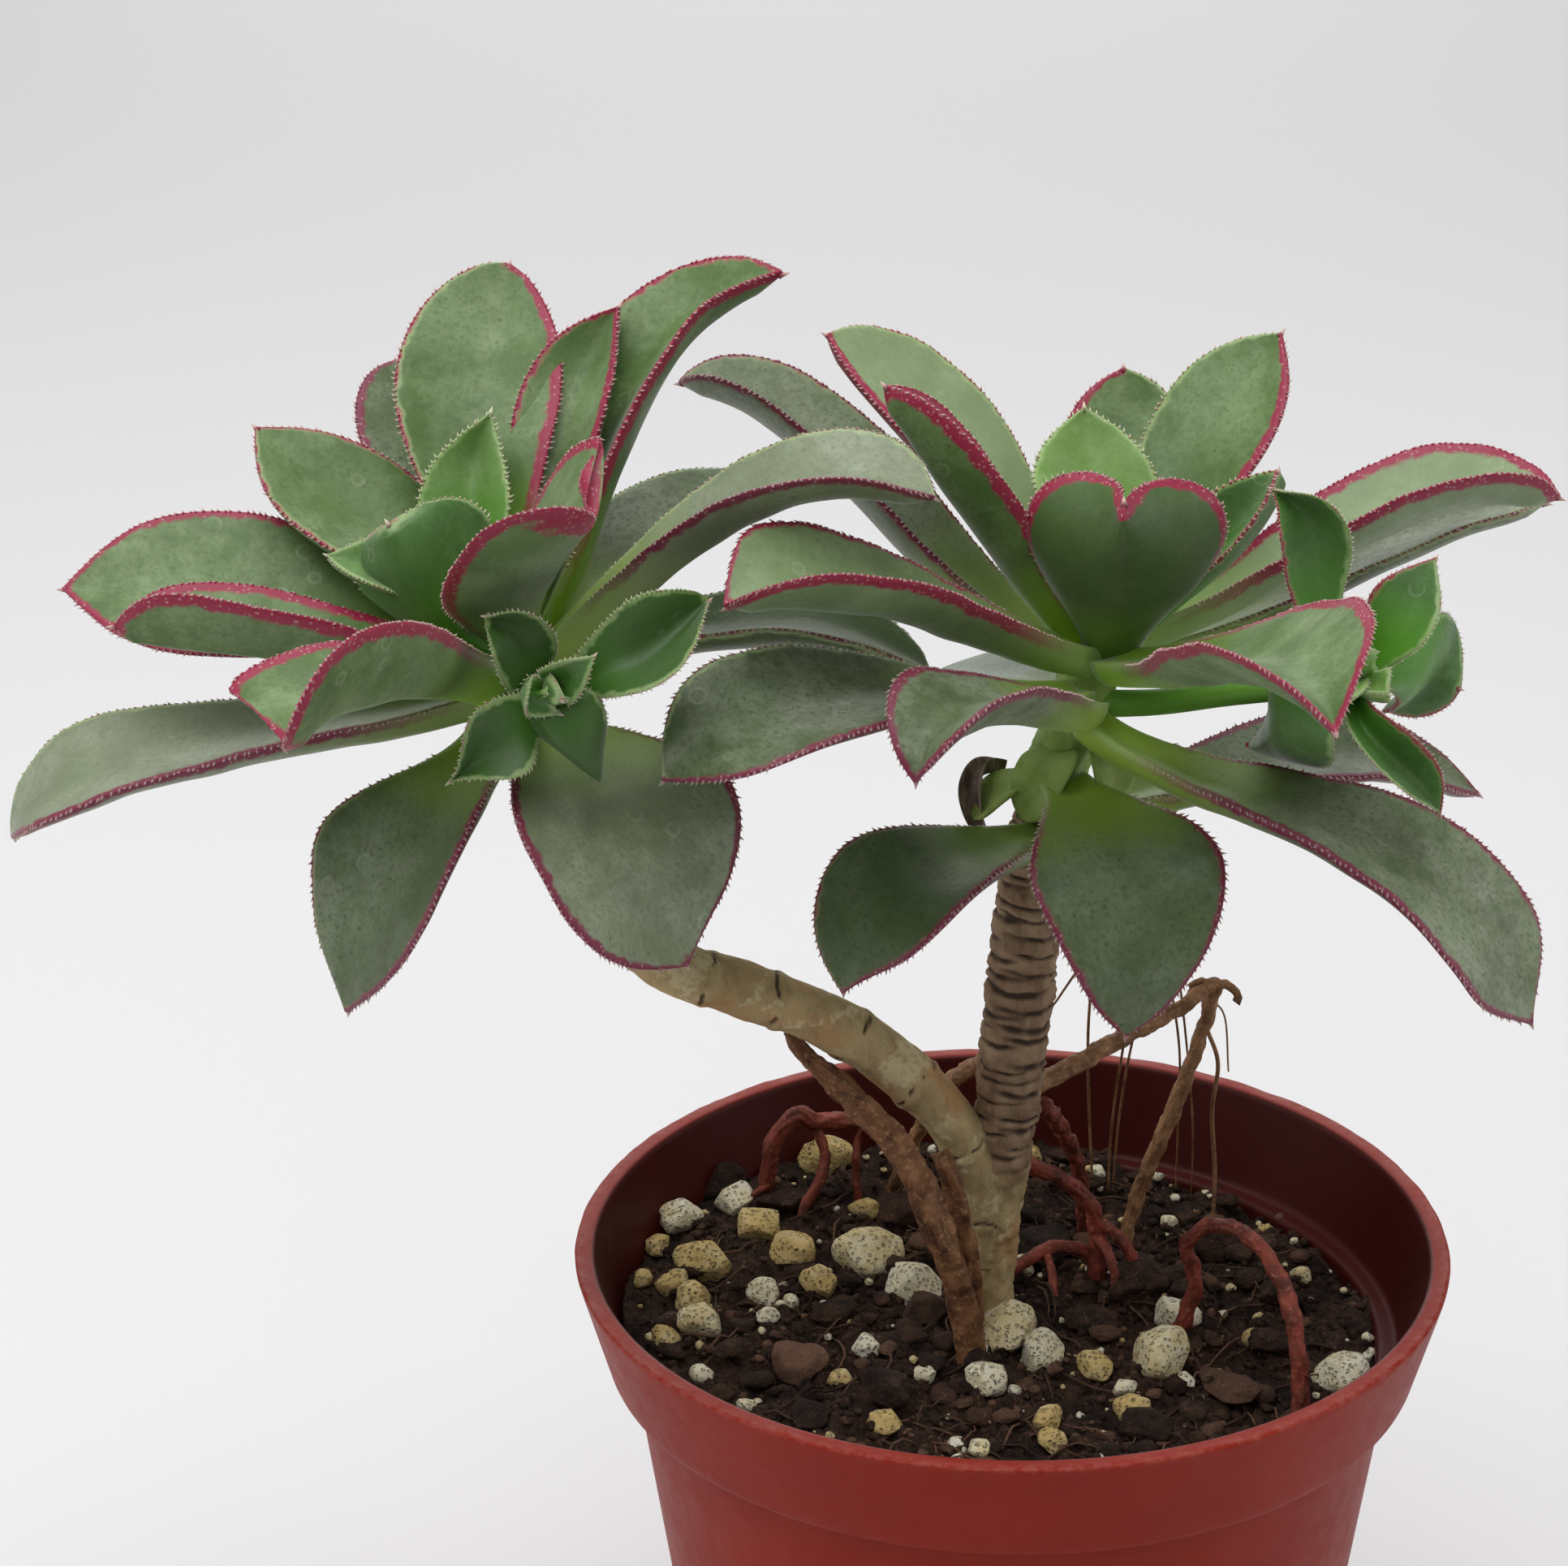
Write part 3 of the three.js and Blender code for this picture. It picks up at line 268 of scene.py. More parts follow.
# Succulent leaf skin: smooth and slightly waxy, grey-green with fine darker mottling and pale dried water
# marks. Its margins are raspberry where the sun reaches them and pale green elsewhere; the foot is
# thin-skinned and shows a brighter green.
# Each leaf is also painted darker or brighter as a whole, as painted shade or painted light, and its bloom is
# partly a painted sheen.
leafLooks = {
    "old": {
        "blade": "#5b6b42", "dark": "#3e4b2c", "foot": "#93b330", "footEnd": 0.44, "bloom": "#8d9780",
        "paintedLight": "#a4ab94", "margin": "#6f213a", "marginWidth": 1.05, "speck": 0.7,
    },
    "grown": {
        "blade": "#557036", "dark": "#3f5a28", "foot": "#84ae24", "footEnd": 0.38, "bloom": "#809669",
        "paintedLight": "#9dab86", "margin": "#8a173a", "marginWidth": 1.4, "speck": 0.45,
    },
    "young": {
        "blade": "#4a7430", "dark": "#335a20", "foot": "#549a0c", "footEnd": 0.62, "bloom": "#7d9c6a",
        "paintedLight": "#8fb25a", "margin": "#8c3040", "marginWidth": 0.8, "speck": 0.3,
    },
}


def leafSkin(look):
    return {
        "shader": {
            "Specular IOR Level": 0.4, "Sheen Weight": 0.15, "Sheen Roughness": 0.4,
            "Subsurface Weight": 0.14, "Subsurface Scale": 0.002, "Subsurface Radius": (0.6, 1.0, 0.3),
        },
        "patterns": {
            "leafT": None, "marginMm": None, "tooth": None, "tone": None, "blush": None,
            "broad": (6, 4, 0.65), "bloom": (9, 5, 0.75), "mottle": (0.5, 3, 0.7), "wander": (1.2, 3, 0.5),
            "speck": ("spots", 1.5, 0.16, 0.06), "pore": ("spots", 0.55, 0.3, 0.15),
            # a water mark is the thin ring between two circles in one cell, on some parts of the blade only
            "outer": ("spots", 4.5, 0.2, 0.03), "inner": ("spots", 4.5, 0.17, 0.05),
            "ring": [("outer",), ("inner", 0, 1, 0, -1)], "patch": (7, 1, 0.5),
            "fromFoot": [("leafT",), ("broad", 0.3, 0.7, -0.05, 0.05)],
            "edge": [("marginMm",), ("wander", 0.3, 0.7, -0.25, 0.25)],
            # the red reaches in from the edge by the blush's share of its full width
            "pastRed": [("edge",), ("blush", 0, 1, 0, -look["marginWidth"])],
        },
        "layers": [
            (look["dark"],),
            (look["blade"], ("broad", 0.25, 0.75)),
            # waxy bloom in soft patches, less on the foot; partly painted sheen, as it is fainter on leaves
            # in shade
            (look["bloom"], ("bloom", 0.42, 0.68), ("leafT", 0.15, 0.55), ("tone", -0.9, 0, 0.15, 0.7)),
            # fine dark mottling, and darker specks here and there
            (look["dark"], ("mottle", 0.5, 0.66, 0, look["speck"])),
            ("#26351a", ("speck",), ("broad", 0.48, 0.6, 0, look["speck"])),
            ("#a9b698", ("ring", 0, 1), ("patch", 0.5, 0.6, 0, 0.25)),
            # the brighter foot, then painted shade on leaves in shade and painted light on lit leaves, by the
            # leaf's tone
            (look["foot"], ("fromFoot", look["footEnd"], 0.04)),
            ("#2c4418", ("tone", -1, 0, 0.75, 0)),
            (look["paintedLight"], ("tone", 0, 1, 0, 0.75)),
            # a thin pale margin, the red over it with its pale pores, and the teeth
            ("#9db179", ("edge", 0.7, 0.35, 0, 0.55)),
            (look["margin"], ("pastRed", 0, -0.4), ("leafT", 0.1, 0.34)),
            ("#c9a3a0", ("pastRed", 0, -0.4), ("leafT", 0.1, 0.34), ("pore", 0, 1, 0, 0.4)),
            ("#dcc9bd", ("tooth", 0.05, 0.7, 0, 0.6)),
        ],
        "roughness": ("mottle", 0.3, 0.7, 0.42, 0.56),
        "bumps": [("broad", 0.1), ("mottle", 0.03)],
    }


leafSkins = {age: makeMaterial(f"succulent leaf skin, {age}", leafSkin(look))
             for age, look in leafLooks.items()}
print("leaf skins mixed")

# Leaves
# age, how much darker (-1) or brighter (1) it is than others of its age, how red its two margins are, then
# its form: width across the blade, where along the midrib it is widest, how blunt, how far each half is
# raised at the foot and at the tip, roll about the midrib at the foot and at the tip (degrees), and the four
# control points of the midrib's Bezier curve; a last number is half the angle of the tip, in degrees
# the darker or brighter number is painted shade and light: leaves hanging in shade darker, lit leaves facing
# up brighter
leaves = {
    "left": [
        ("grown", -.05, (.3, 1), 15.5, .62, 2.1, (20, 8), (0, 0),
         (-45, -9, 138.5), (-48.5, -6.5, 152), (-50.5, 5, 157.5), (-46, 12, 167), 74),
        ("old", 0, (1, 1), 14, .65, 2.2, (15, 8), (0, 0),
         (-45, -8, 137.5), (-50.5, 1.5, 144.5), (-55.3, 13.5, 150.5), (-55.8, 20, 156), 72),
        ("grown", 0, (.35, .45), 14.2, .6, 2, (15, 8), (0, -20),
         (-45.5, -11, 138.5), (-52, -9, 145.5), (-60, -3.5, 147.5), (-68.5, 0, 155.5)),
        ("young", .3, (0, 0), 11.8, .45, 1.5, (48, 24), (-22, -20),
         (-46, -10, 140.5), (-50, -8.5, 150.2), (-48.9, -5, 152.4), (-47.1, -4.8, 157.9), 41),
        ("grown", 0, (.5, .9), 11, .6, 2, (30, 40), (0, 0),
         (-44, -8, 140), (-42, -6.5, 150), (-40, 4.5, 157.5), (-36, 6, 164.5), 46),
        ("grown", 0, (.5, 1), 13, .6, 2.2, (25, 35), (0, 0),
         (-44, -8, 138.5), (-37.8, -6.5, 149), (-37.5, 9, 163), (-21, 6, 167.5), 42),
        ("grown", .1, (1, 1), 19.9, .53, 5, (25, 27), (44, 18),
         (-46.5, -11, 138.5), (-44.9, -14.5, 146.2), (-40.2, -26.2, 155.4), (-37.5, -24.8, 155.1), 85),
        ("young", -.3, (.2, .3), 18.8, .4, 5, (46, 47), (60, 47),
         (-47.5, -12, 139.5), (-53, -20.2, 144.6), (-52.4, -18.6, 148.2), (-55.2, -18.4, 152.4), 82),
        ("grown", 0, (.9, .7), 17.5, .6, 2, (15, 10), (-10, -40),
         (-47, -12, 137.5), (-58.5, -14, 142), (-72, -8.5, 144.2), (-85.5, -9, 143.5)),
        ("grown", 0, (1, 1), 12, .65, 2.4, (30, 50), (0, 12),
         (-47, -14, 138), (-54, -22.5, 142), (-68.5, -22.5, 144.4), (-79, -22, 144.8), 58),
        ("grown", 0, (1, 1), 18, .79, 3.6, (38, 23), (-3, 39),
         (-47, -15, 136.5), (-51.5, -28.5, 144), (-60.2, -44.4, 147.9), (-62, -43.7, 141.9), 78),
        ("old", .4, (.9, .25), 15, .85, 3.2, (13, 6), (0, -17),
         (-46, -13, 136), (-53.8, -20.5, 133.9), (-89.8, -22.1, 134.9), (-90.3, -16.8, 122.6), 39),
        ("old", -.25, (.8, .5), 18.5, .64, 1.6, (15, 5), (0, 0),
         (-47, -13, 131.5), (-50.5, -23, 127.5), (-58.5, -27, 125.5), (-60.5, -25, 109), 44),
        ("old", .25, (1, 1), 24, .55, 2.2, (10, 5), (0, 0),
         (-44, -13, 131.5), (-37.2, -22, 132), (-34, -28.5, 125.5), (-30, -27, 114), 60),
        ("old", .35, (.25, .9), 13, .7, 3, (25, 25), (0, 5),
         (-43, -10, 137.5), (-33, -11.5, 147), (-21.5, -10.5, 157.5), (-8, -15, 153), 58),
        ("old", 0, (.2, .2), 14, .6, 2.2, (15, 10), (0, 0),
         (-44, -7, 136.5), (-39.5, 0, 141.5), (-29.5, 7.5, 146.5), (-21.5, 10, 146.5)),
        ("old", -.8, (.3, .3), 13, .7, 2.5, (15, 10), (0, 0),
         (-44, -7, 134), (-33, -5, 137.5), (-18.5, -2.5, 141), (-8, -5, 133), 64),
        ("old", 0, (1, 1), 14, .62, 2.2, (15, 8), (0, 0),
         (-45, -8, 134), (-46, 6, 137), (-47, 18, 144), (-48, 26, 145)),
    ],
    "right": [
        ("grown", -.7, (1, 1), 20.2, .58, 2, (7, 80), (0, -11),
         (8.5, -2, 134), (8.5, -11.1, 144.3), (8.6, -16.2, 147.7), (8.1, -17.5, 153.3), 86),
        ("young", .5, (.05, .05), 13, .54, 1.3, (31, 10), (12, -9),
         (8, 0, 135.5), (6.8, 2.4, 144.9), (6.8, 6.9, 148.6), (6.5, 8.3, 153.7), 58),
        ("grown", 0, (.9, .2), 12, .62, 2.2, (15, 10), (0, 0),
         (9, 3, 133.5), (10, 10, 143.5), (11.5, 17.5, 146), (11, 20, 154), 66),
        ("grown", 0, (.1, .9), 13.5, .62, 2, (15, 8), (0, 10),
         (9.5, 1, 134.5), (14, 5.5, 143), (19, 12.5, 151), (25, 14, 159), 54),
        ("young", -.3, (.4, .6), 8.1, .53, 1.4, (30, 58), (31, 35),
         (9.5, -2, 135.5), (16.6, -4.3, 143.8), (22, -6, 148.3), (22.9, -3.2, 151.2), 74),
        ("grown", .55, (.9, .25), 14, .6, 2, (20, 10), (0, -10),
         (7, 0, 135.5), (-1.5, 4, 143.5), (-6.5, 12.5, 154), (-17, 12, 160), 56),
        ("grown", 0, (1, 1), 11, .6, 2, (30, 45), (0, 0),
         (6.5, -3, 136), (0, -5.5, 143.5), (-4.5, -6.5, 151), (-12, -6, 160.5)),
        ("grown", .35, (1, .6), 15, .75, 4, (25, 36), (0, -6),
         (6.5, -4, 134.5), (-2.5, -12, 138.5), (-16, -21, 150.5), (-26.5, -23, 146), 62),
        ("old", -.1, (.8, .3), 15, .68, 2.2, (15, 8), (0, -25),
         (5.5, -6, 131.5), (-8.5, -16.5, 134), (-22.5, -26.5, 142.5), (-32, -28, 132)),
        ("old", -.7, (.1, .1), 12, .62, 2.2, (15, 8), (0, 0),
         (6.5, 4, 127.5), (1.5, 11.5, 126), (-4.5, 21.5, 124), (-7.5, 26, 121)),
        ("old", 0, (1, 1), 12.5, .75, 5, (20, 35), (0, 0),
         (6.5, -6, 130), (2.5, -18, 134.5), (-9.5, -31.5, 144), (-10.5, -33, 133.5), 46),
        ("old", -.6, (.8, .6), 15, .62, 1.6, (10, 5), (0, -20),
         (3, -3, 116.5), (-4, -13.5, 119), (-16, -16, 118), (-16.5, -16, 106), 46),
        ("old", -.35, (.8, .8), 18.5, .52, 1.5, (10, 5), (0, 0),
         (4, -4, 122), (8, -15.5, 121.5), (11, -23, 119), (9, -21, 103.5), 48),
        ("old", .05, (.8, .9), 15.5, .82, 3.4, (15, 5), (0, 20),
         (6.5, -5, 128.5), (16.5, -15.5, 122.5), (37, -18, 126.5), (46.2, -18, 103), 48),
        ("old", -.15, (1, 1), 13, .65, 2.2, (15, 8), (0, 15),
         (5.5, 3, 116.5), (17.5, 8, 115), (31.5, 13.5, 123), (46, 14, 112.5), 46),
        ("grown", 0, (1, 1), 17, .59, 5, (12, 48), (10, 7),
         (8, -6, 134.5), (16.6, -17.3, 137.6), (21.2, -31.6, 147.3), (23.1, -46, 142.9), 47),
        ("grown", .5, (1, 1), 12.2, .65, 2.4, (25, 40), (0, 0),
         (9, -1, 135), (23.5, 2, 138), (36, 5.5, 150), (50, 4, 146), 58),
        ("old", 0, (.7, .3), 11, .65, 2.4, (15, 10), (0, 0),
         (9.5, 4, 131.5), (23.5, 10, 131), (38.5, 13, 143.5), (50.5, 13, 142.5)),
        ("old", .1, (.8, .6), 12, .6, 2.4, (25, 35), (0, 0),
         (6.5, 3, 132), (-5.5, 8.5, 132.5), (-18, 16.5, 155.5), (-31, 19, 153.5), 62),
        ("old", -.4, (.2, .2), 13, .62, 2.2, (15, 8), (0, 0),
         (8, 3, 130), (9, 16, 134), (10, 27, 141), (10, 34, 141)),
    ],
}

leafForm = {
    "stations": 64, "around": 40,
    "petiole": 0.28,    # width of the foot, as a share of the widest
    "closing": 0.6,
    "foldRound": 0.25,
    "marginDrop": 0.3,
    "thickness": 2.6,
    "thinning": 0.45,   # how much of the thickness is gone at the tip
    "reach": 0.985,     # how far along the midrib the last ring stands
    "crowding": 1.4,    # above 1, the rings stand closer together towards the tip
    "closeOver": 0.06,  # share of the midrib over which the thickness goes to nothing
    "point": 50,        # half the angle of the tip, in degrees, where the leaf names none
    "wave": 0.16,       # height of the blade's slow waves
    "waveSize": 11,
}

teethForm = {
    "every": 0.62, "length": 0.42, "radius": 0.17, "sides": 5,
    "from": 0.16,       # the foot has a smooth margin
    "lean": 0.6,        # towards the tip
    "sunk": 0.15,       # mm of each tooth inside the blade
    "jitter": 0.25, "sway": 0.16, "rise": 0.1, "lengths": (0.6, 1.25),
    "tipLength": 1.1, "tipRadius": 0.38, "tipSunk": 0.5,
}


def leafMidrib(leaf, t):
    # a cubic Bezier curve through the four control points, and the direction of its slope
    p = np.array(leaf[5:9], float)
    k = t[:, None]
    s = 1 - k
    middle = s ** 3 * p[0] + 3 * s * s * k * p[1] + 3 * s * k * k * p[2] + k ** 3 * p[3]
    return middle, unit(s * s * (p[1] - p[0]) + 2 * s * k * (p[2] - p[1]) + k * k * (p[3] - p[2]))


def leafFrame(leaf, t):
    # the side is level and square to the midrib, then rolled about it; up is square to both
    roll, p, k = leaf[4], np.array(leaf[5:9], float), t[:, None]
    middle, along = leafMidrib(leaf, t)
    level = np.cross(p[3] - p[0], (0, 0, 1))
    side = unit(level - (along @ level)[:, None] * along)
    turn = np.radians(roll[0] + (roll[1] - roll[0]) * k)
    side = side * np.cos(turn) + np.cross(along, side) * np.sin(turn)
    return middle, along, side, np.cross(side, along)


leastWidth = 1e-3   # mm


def leafHalfWidth(leaf, t):
    # a narrow foot, a smooth rise to the widest part, then (1 - past^blunt)^closing down to the tip, softly
    # held under the two straight sides of the point: distance to the tip * tan(half the point's angle)
    width, widest, blunt = leaf[:3]
    foot = leafForm["petiole"]
    past = np.maximum(0, (t - widest) / (1 - widest))
    body = width / 2 * (foot + (1 - foot) * smooth(t / widest)) * (1 - past ** blunt) ** leafForm["closing"]
    left = np.linalg.norm(leafMidrib(leaf, t)[0] - np.array(leaf[8], float), axis=-1)
    halfAngle = leaf[9] if len(leaf) > 9 else leafForm["point"]
    point = left * np.tan(np.radians(halfAngle)) + leastWidth
    return (np.maximum(body, leastWidth) ** -6 + point ** -6) ** (-1 / 6)


def leafPoints(leaf, t, u, drop):
    # midrib + side * half width * u * cos(fold) + up * (half width * lift(u) * sin(fold) - drop)
    middle, _, side, up = leafFrame(leaf, t)
    half = leafHalfWidth(leaf, t)[:, None]
    fold = np.radians(leaf[3][0] + (leaf[3][1] - leaf[3][0]) * t ** 2)[:, None]
    e = leafForm["foldRound"]
    lift = (np.hypot(u, e) - e) / (np.hypot(1, e) - e)
    sideways = (half * u * np.cos(fold))[..., None] * side[:, None]
    upward = (half * lift * np.sin(fold) - drop)[..., None] * up[:, None]
    return middle[:, None] + sideways + upward


def waveOf(points, t, seed):
    # how far the blade's slow waves lift it: nothing at the foot, full height from a third of the way on
    return leafForm["wave"] * smooth(3 * t) * ripple(points, leafForm["waveSize"], seed, 2)


def toMargins(rings):
    # the way round each ring from each of its points to the nearer of the two margins
    around = rings.shape[1]
    steps = np.linalg.norm(np.diff(rings, axis=1, append=rings[:, :1]), axis=-1)
    travelled = np.concatenate([np.zeros((len(rings), 1)), np.cumsum(steps, axis=1)], axis=1)
    margins = travelled[:, [0, around // 2, around]]
    return np.abs(travelled[:, :around, None] - margins[:, None]).min(-1)


def leafBlade(leaf, seed, form, blush=(1, 1)):
    # rings of u = cos(turn): the under face for the first half turn and the upper face for the second, the
    # one thick * (1 - thinning * t^2) * sqrt(1 - |u|^3) below it, closing at the tip
    stations, around = form["stations"], form["around"]
    t = 1 - (1 - np.linspace(0, leafForm["reach"], stations)) ** leafForm["crowding"]
    row = t[:, None]
    turn = circle * np.arange(around) / around
    u = np.broadcast_to(np.cos(turn), (stations, around))
    wide = np.minimum(np.abs(u), 1)
    closing = np.sqrt(np.clip((1 - row) / leafForm["closeOver"], 0, 1))
    depth = form["thickness"] * (1 - leafForm["thinning"] * row ** 2) * np.sqrt(1 - wide ** 3) * closing
    rounding = leafForm["marginDrop"] * (1 - np.sqrt(1 - wide ** 8))
    rings = leafPoints(leaf, t, u, rounding + np.where(np.sin(turn) > 1e-9, depth, 0))
    middle, _, _, up = leafFrame(leaf, t)
    rings = rings + up[:, None] * waveOf(rings, row, seed)[..., None]
    tip = np.array(leaf[8], float)
    toTip = np.linalg.norm(middle - tip, axis=-1)[:, None]
    points, faces = ringSkin(rings, rings[0].mean(0), tip - leafForm["marginDrop"] * up[-1])
    return points, faces, {
        "blush": withPoles(blush[0] + (blush[1] - blush[0]) * smooth((u + 1) / 2)),
        "leafT": withPoles(np.broadcast_to(row, u.shape)),
        "marginMm": withPoles(np.minimum(toMargins(rings), toTip)),
    }


def coneSkin(feet, ways, lengths, radii, sides):
    # pyramids: a ring of points around each foot, square to its way, and a point at foot + way * length
    around = circle * np.arange(sides) / sides
    first = unit(np.cross(ways, (0.3, 0.5, 0.81)))
    second = np.cross(ways, first)
    ring = first[:, None] * np.cos(around)[None, :, None] + second[:, None] * np.sin(around)[None, :, None]
    rims = feet[:, None] + ring * radii[:, None, None]
    points = np.concatenate([rims, (feet + ways * lengths[:, None])[:, None]], 1)
    start = np.arange(len(feet))[:, None] * (sides + 1)
    k = np.arange(sides)
    n = (k + 1) % sides
    walls = np.stack(np.broadcast_arrays(start + k, start + n, start + sides), axis=-1).reshape(-1, 3)
    floor = (start + k[::-1]).reshape(-1, sides)
    sharp = np.tile(np.append(np.zeros(sides), 1.0), len(feet))
    return points.reshape(-1, 3), [walls, floor], {"tooth": sharp}


def leafTeeth(leaf, seed, scale, blush):
    # small soft teeth spaced evenly along both margins, leaning to the tip, and a sharper one at the tip
    form = teethForm
    draw = np.random.default_rng(seed)
    t = np.linspace(form["from"], leafForm["reach"], 160)
    rows = []
    for u, red in zip((-1.0, 1.0), blush):
        line = leafPoints(leaf, t, np.full((len(t), 1), u), leafForm["marginDrop"])[:, 0]
        line = line + leafFrame(leaf, t)[3] * waveOf(line, t, seed)[:, None]
        run = np.append(0, np.cumsum(np.linalg.norm(np.diff(line, axis=0), axis=-1)))
        count = max(4, int(run[-1] / (form["every"] * scale)))
        jitter = draw.uniform(-form["jitter"], form["jitter"], count)
        place = (np.arange(count) + 0.5 + jitter) * run[-1] / count
        at = np.interp(place, run, t)
        foot, beyond = [np.stack([np.interp(place + step, run, line[:, k]) for k in range(3)], axis=-1)
                        for step in (0, 0.2)]
        ahead = unit(beyond - foot + 1e-6)
        _, _, side, up = leafFrame(leaf, at)
        out = unit(u * side - ahead * (u * side * ahead).sum(-1, keepdims=True))
        sway = draw.normal(0, form["sway"], (count, 3))
        way = unit(out + form["lean"] * ahead + sway + form["rise"] * up)
        rows.append((foot - form["sunk"] * out, way, at, np.full(count, red)))
    _, along, _, up = leafFrame(leaf, np.array([1.0]))
    tip = np.array(leaf[8], float) - leafForm["marginDrop"] * up - form["tipSunk"] * scale * along
    rows.append((tip, along, np.array([1.0]), np.array([max(blush)])))
    feet, ways, ts, reds = [np.concatenate(column) for column in zip(*rows)]
    lengths = form["length"] * scale * draw.uniform(*form["lengths"], len(feet)) + form["sunk"]
    radii = np.full(len(feet), form["radius"] * scale)
    lengths[-1], radii[-1] = form["tipLength"] * scale, form["tipRadius"] * scale
    points, faces, values = coneSkin(feet, ways, lengths, radii, form["sides"])
    values.update(leafT=np.repeat(ts, form["sides"] + 1), blush=np.repeat(reds, form["sides"] + 1))
    return points, faces, values


def leafParts(leaf, seed, tone, blush, form=leafForm, teeth=1.0):
    parts = [leafBlade(leaf, seed, form, blush), leafTeeth(leaf, seed, teeth, blush)]
    for points, _, values in parts:
        values["tone"] = np.full(len(points), tone)
    return parts


named = [(f"{side}_{place:02d}", row) for side, rows in leaves.items() for place, row in enumerate(rows, 1)]
for number, (name, (age, tone, blush, *leaf)) in enumerate(named):
    parts = leafParts(leaf, number, tone, blush)
    makePiece("blade_" + name, parts, leafSkins[age], ["leaf_" + name])
print("large leaves grown:", len(named))

# each rosette's tone darkens or brightens all its leaves: painted shade and light, as for the large leaves
rosettes = {
    "offset_left": {
        "tone": -0.85, "blush": (0, 0.1),
        "shoot": [(-45, -11, 132), (-44, -16, 134.5), (-42, -21.5, 137.5), (-40.5, -26.5, 139)],
        "radius": [1.6, 1.6, 1.7, 1.5],
        "leaves": [
            (7, .72, 3.1, (5, 67), (-45, -94),
             (-40.5, -25, 138.5), (-45.6, -27.2, 139), (-41.4, -26.3, 145.4), (-46.7, -26.2, 146.4), 80),
            (10.5, .7, 2.5, (25, 66), (58, 42),
             (-40.5, -25, 138.5), (-35.5, -29.1, 145), (-34.6, -27.7, 140.4), (-27.7, -22.1, 146.4), 78),
            (8.4, .68, 2.1, (5, 72), (-78, -61),
             (-40.5, -25, 138.5), (-44.8, -31.3, 138.7), (-44.8, -29.2, 136.9), (-50, -30.6, 133.1), 42),
            (9.3, .45, 1.5, (30, 80), (-60, -70),
             (-40.5, -25, 138.5), (-45, -29.7, 143.2), (-36, -33.1, 132.3), (-37.6, -24.5, 132.3), 49),
            (4.5, .41, 1.7, (25, 40), (110, 129),
             (-40.5, -26, 139.5), (-41.7, -30, 141.5), (-38.2, -31.2, 143.6), (-37.3, -30.9, 144.6), 44),
            (4.1, .53, 1.9, (73, 5), (-63, -12),
             (-40.5, -26, 139), (-43, -33.4, 143.3), (-44, -30.9, 140.9), (-40.3, -30.8, 139.3), 37),
            (3.4, .5, 1.6, (30, 30), (-40, -60),
             (-40.5, -26, 139.5), (-41, -29, 141), (-40.7, -31.5, 141.8), (-39.8, -32.5, 141.4)),
        ],
    },
    "offset_right": {
        "tone": -0.25, "blush": (0.8, 0.1),
        "shoot": [(7, -2, 128.5), (13, -3, 129), (18.5, -5, 130.5), (25, -7, 132), (32, -9, 133.5)],
        "radius": [1.3, 1.2, 1.2, 1.3, 1.5],
        "leaves": [
            (8.1, .73, 2.9, (18, 67), (-85, -98),
             (31, -9, 133.5), (21.1, -12, 142.8), (29.8, -11, 148.7), (21.7, -9.1, 151.3), 57),
            (10.5, .72, 3.5, (5, 53), (118, 82),
             (31, -9, 133.5), (21.6, -16.1, 137.8), (24.6, -20.3, 130), (21.6, -0.9, 124), 38),
            (8.1, .63, 2.3, (57, 58), (40, 19),
             (31.5, -9, 133), (25.8, -16.1, 132.4), (34.6, -15.8, 127.3), (36.9, -17, 123.4), 49),
            (11, .52, 2.8, (10, 19), (-84, -78),
             (31.5, -8, 133), (39.3, -2.7, 132.9), (35.5, 2.8, 130.1), (41, -0.7, 129), 74),
            (7.9, .39, 2.2, (9, 22), (21, 54),
             (31.5, -9, 134), (32.9, -11.6, 139.5), (35.5, -8.7, 142.8), (36.7, -8.3, 144.5), 42),
            (4.5, .55, 1.8, (30, 30), (20, 20),
             (31, -9, 134), (30.5, -12.5, 134.5), (31, -14.5, 134), (32, -15.5, 134.5)),
            (4.5, .55, 1.8, (30, 30), (0, 0),
             (31, -9, 134), (29.5, -12, 136.5), (28.5, -15, 138), (28.5, -14, 139)),
            (4, .55, 1.8, (30, 30), (-20, -20),
             (31, -9, 134), (29, -14, 135), (27.5, -16, 134.5), (26.5, -15, 133)),
        ],
    },
    "tip_left": {
        "tone": 0.2, "blush": (0, 0.1),
        "shoot": [(-45.5, -11, 139.1), (-45.5, -11, 141), (-45.5, -11, 143)],
        "radius": [2, 1.8, 0.6],
        "leaves": [
            (8.5, .55, 1.6, (30, 30), (-20, -35),
             (-46, -11.5, 140.5), (-52, -15, 145.5), (-57, -15.5, 146.5), (-61, -15, 148.5)),
            (4, .5, 1.6, (30, 30), (0, 0),
             (-45.5, -11, 140.5), (-45, -13, 144), (-44.5, -13, 147), (-45, -11.5, 149)),
            (4, .5, 1.6, (30, 30), (0, 0),
             (-45.5, -11, 140.5), (-47, -9, 144), (-47, -9, 147), (-46, -10.5, 149)),
        ],
    },
    "tip_right": {
        "tone": 0.4, "blush": (0, 0.1),
        "shoot": [(8, -1, 135.6), (8, -1, 138), (8, -1, 140)],
        "radius": [2, 1.8, 0.6],
        "leaves": [
            (4.5, .5, 1.6, (30, 30), (0, 0),
             (8, -1, 137), (6, -1, 141), (6, -1, 144), (7, -1, 147)),
            (4.5, .5, 1.6, (30, 30), (0, 0),
             (8, -1, 137), (10, -1, 141), (10, -1, 144), (9, -1, 147)),
            (4, .5, 1.6, (30, 30), (0, 0),
             (8, -1, 137), (8, -3, 141), (8, -3, 144), (8, -2, 146)),
        ],
    },
}

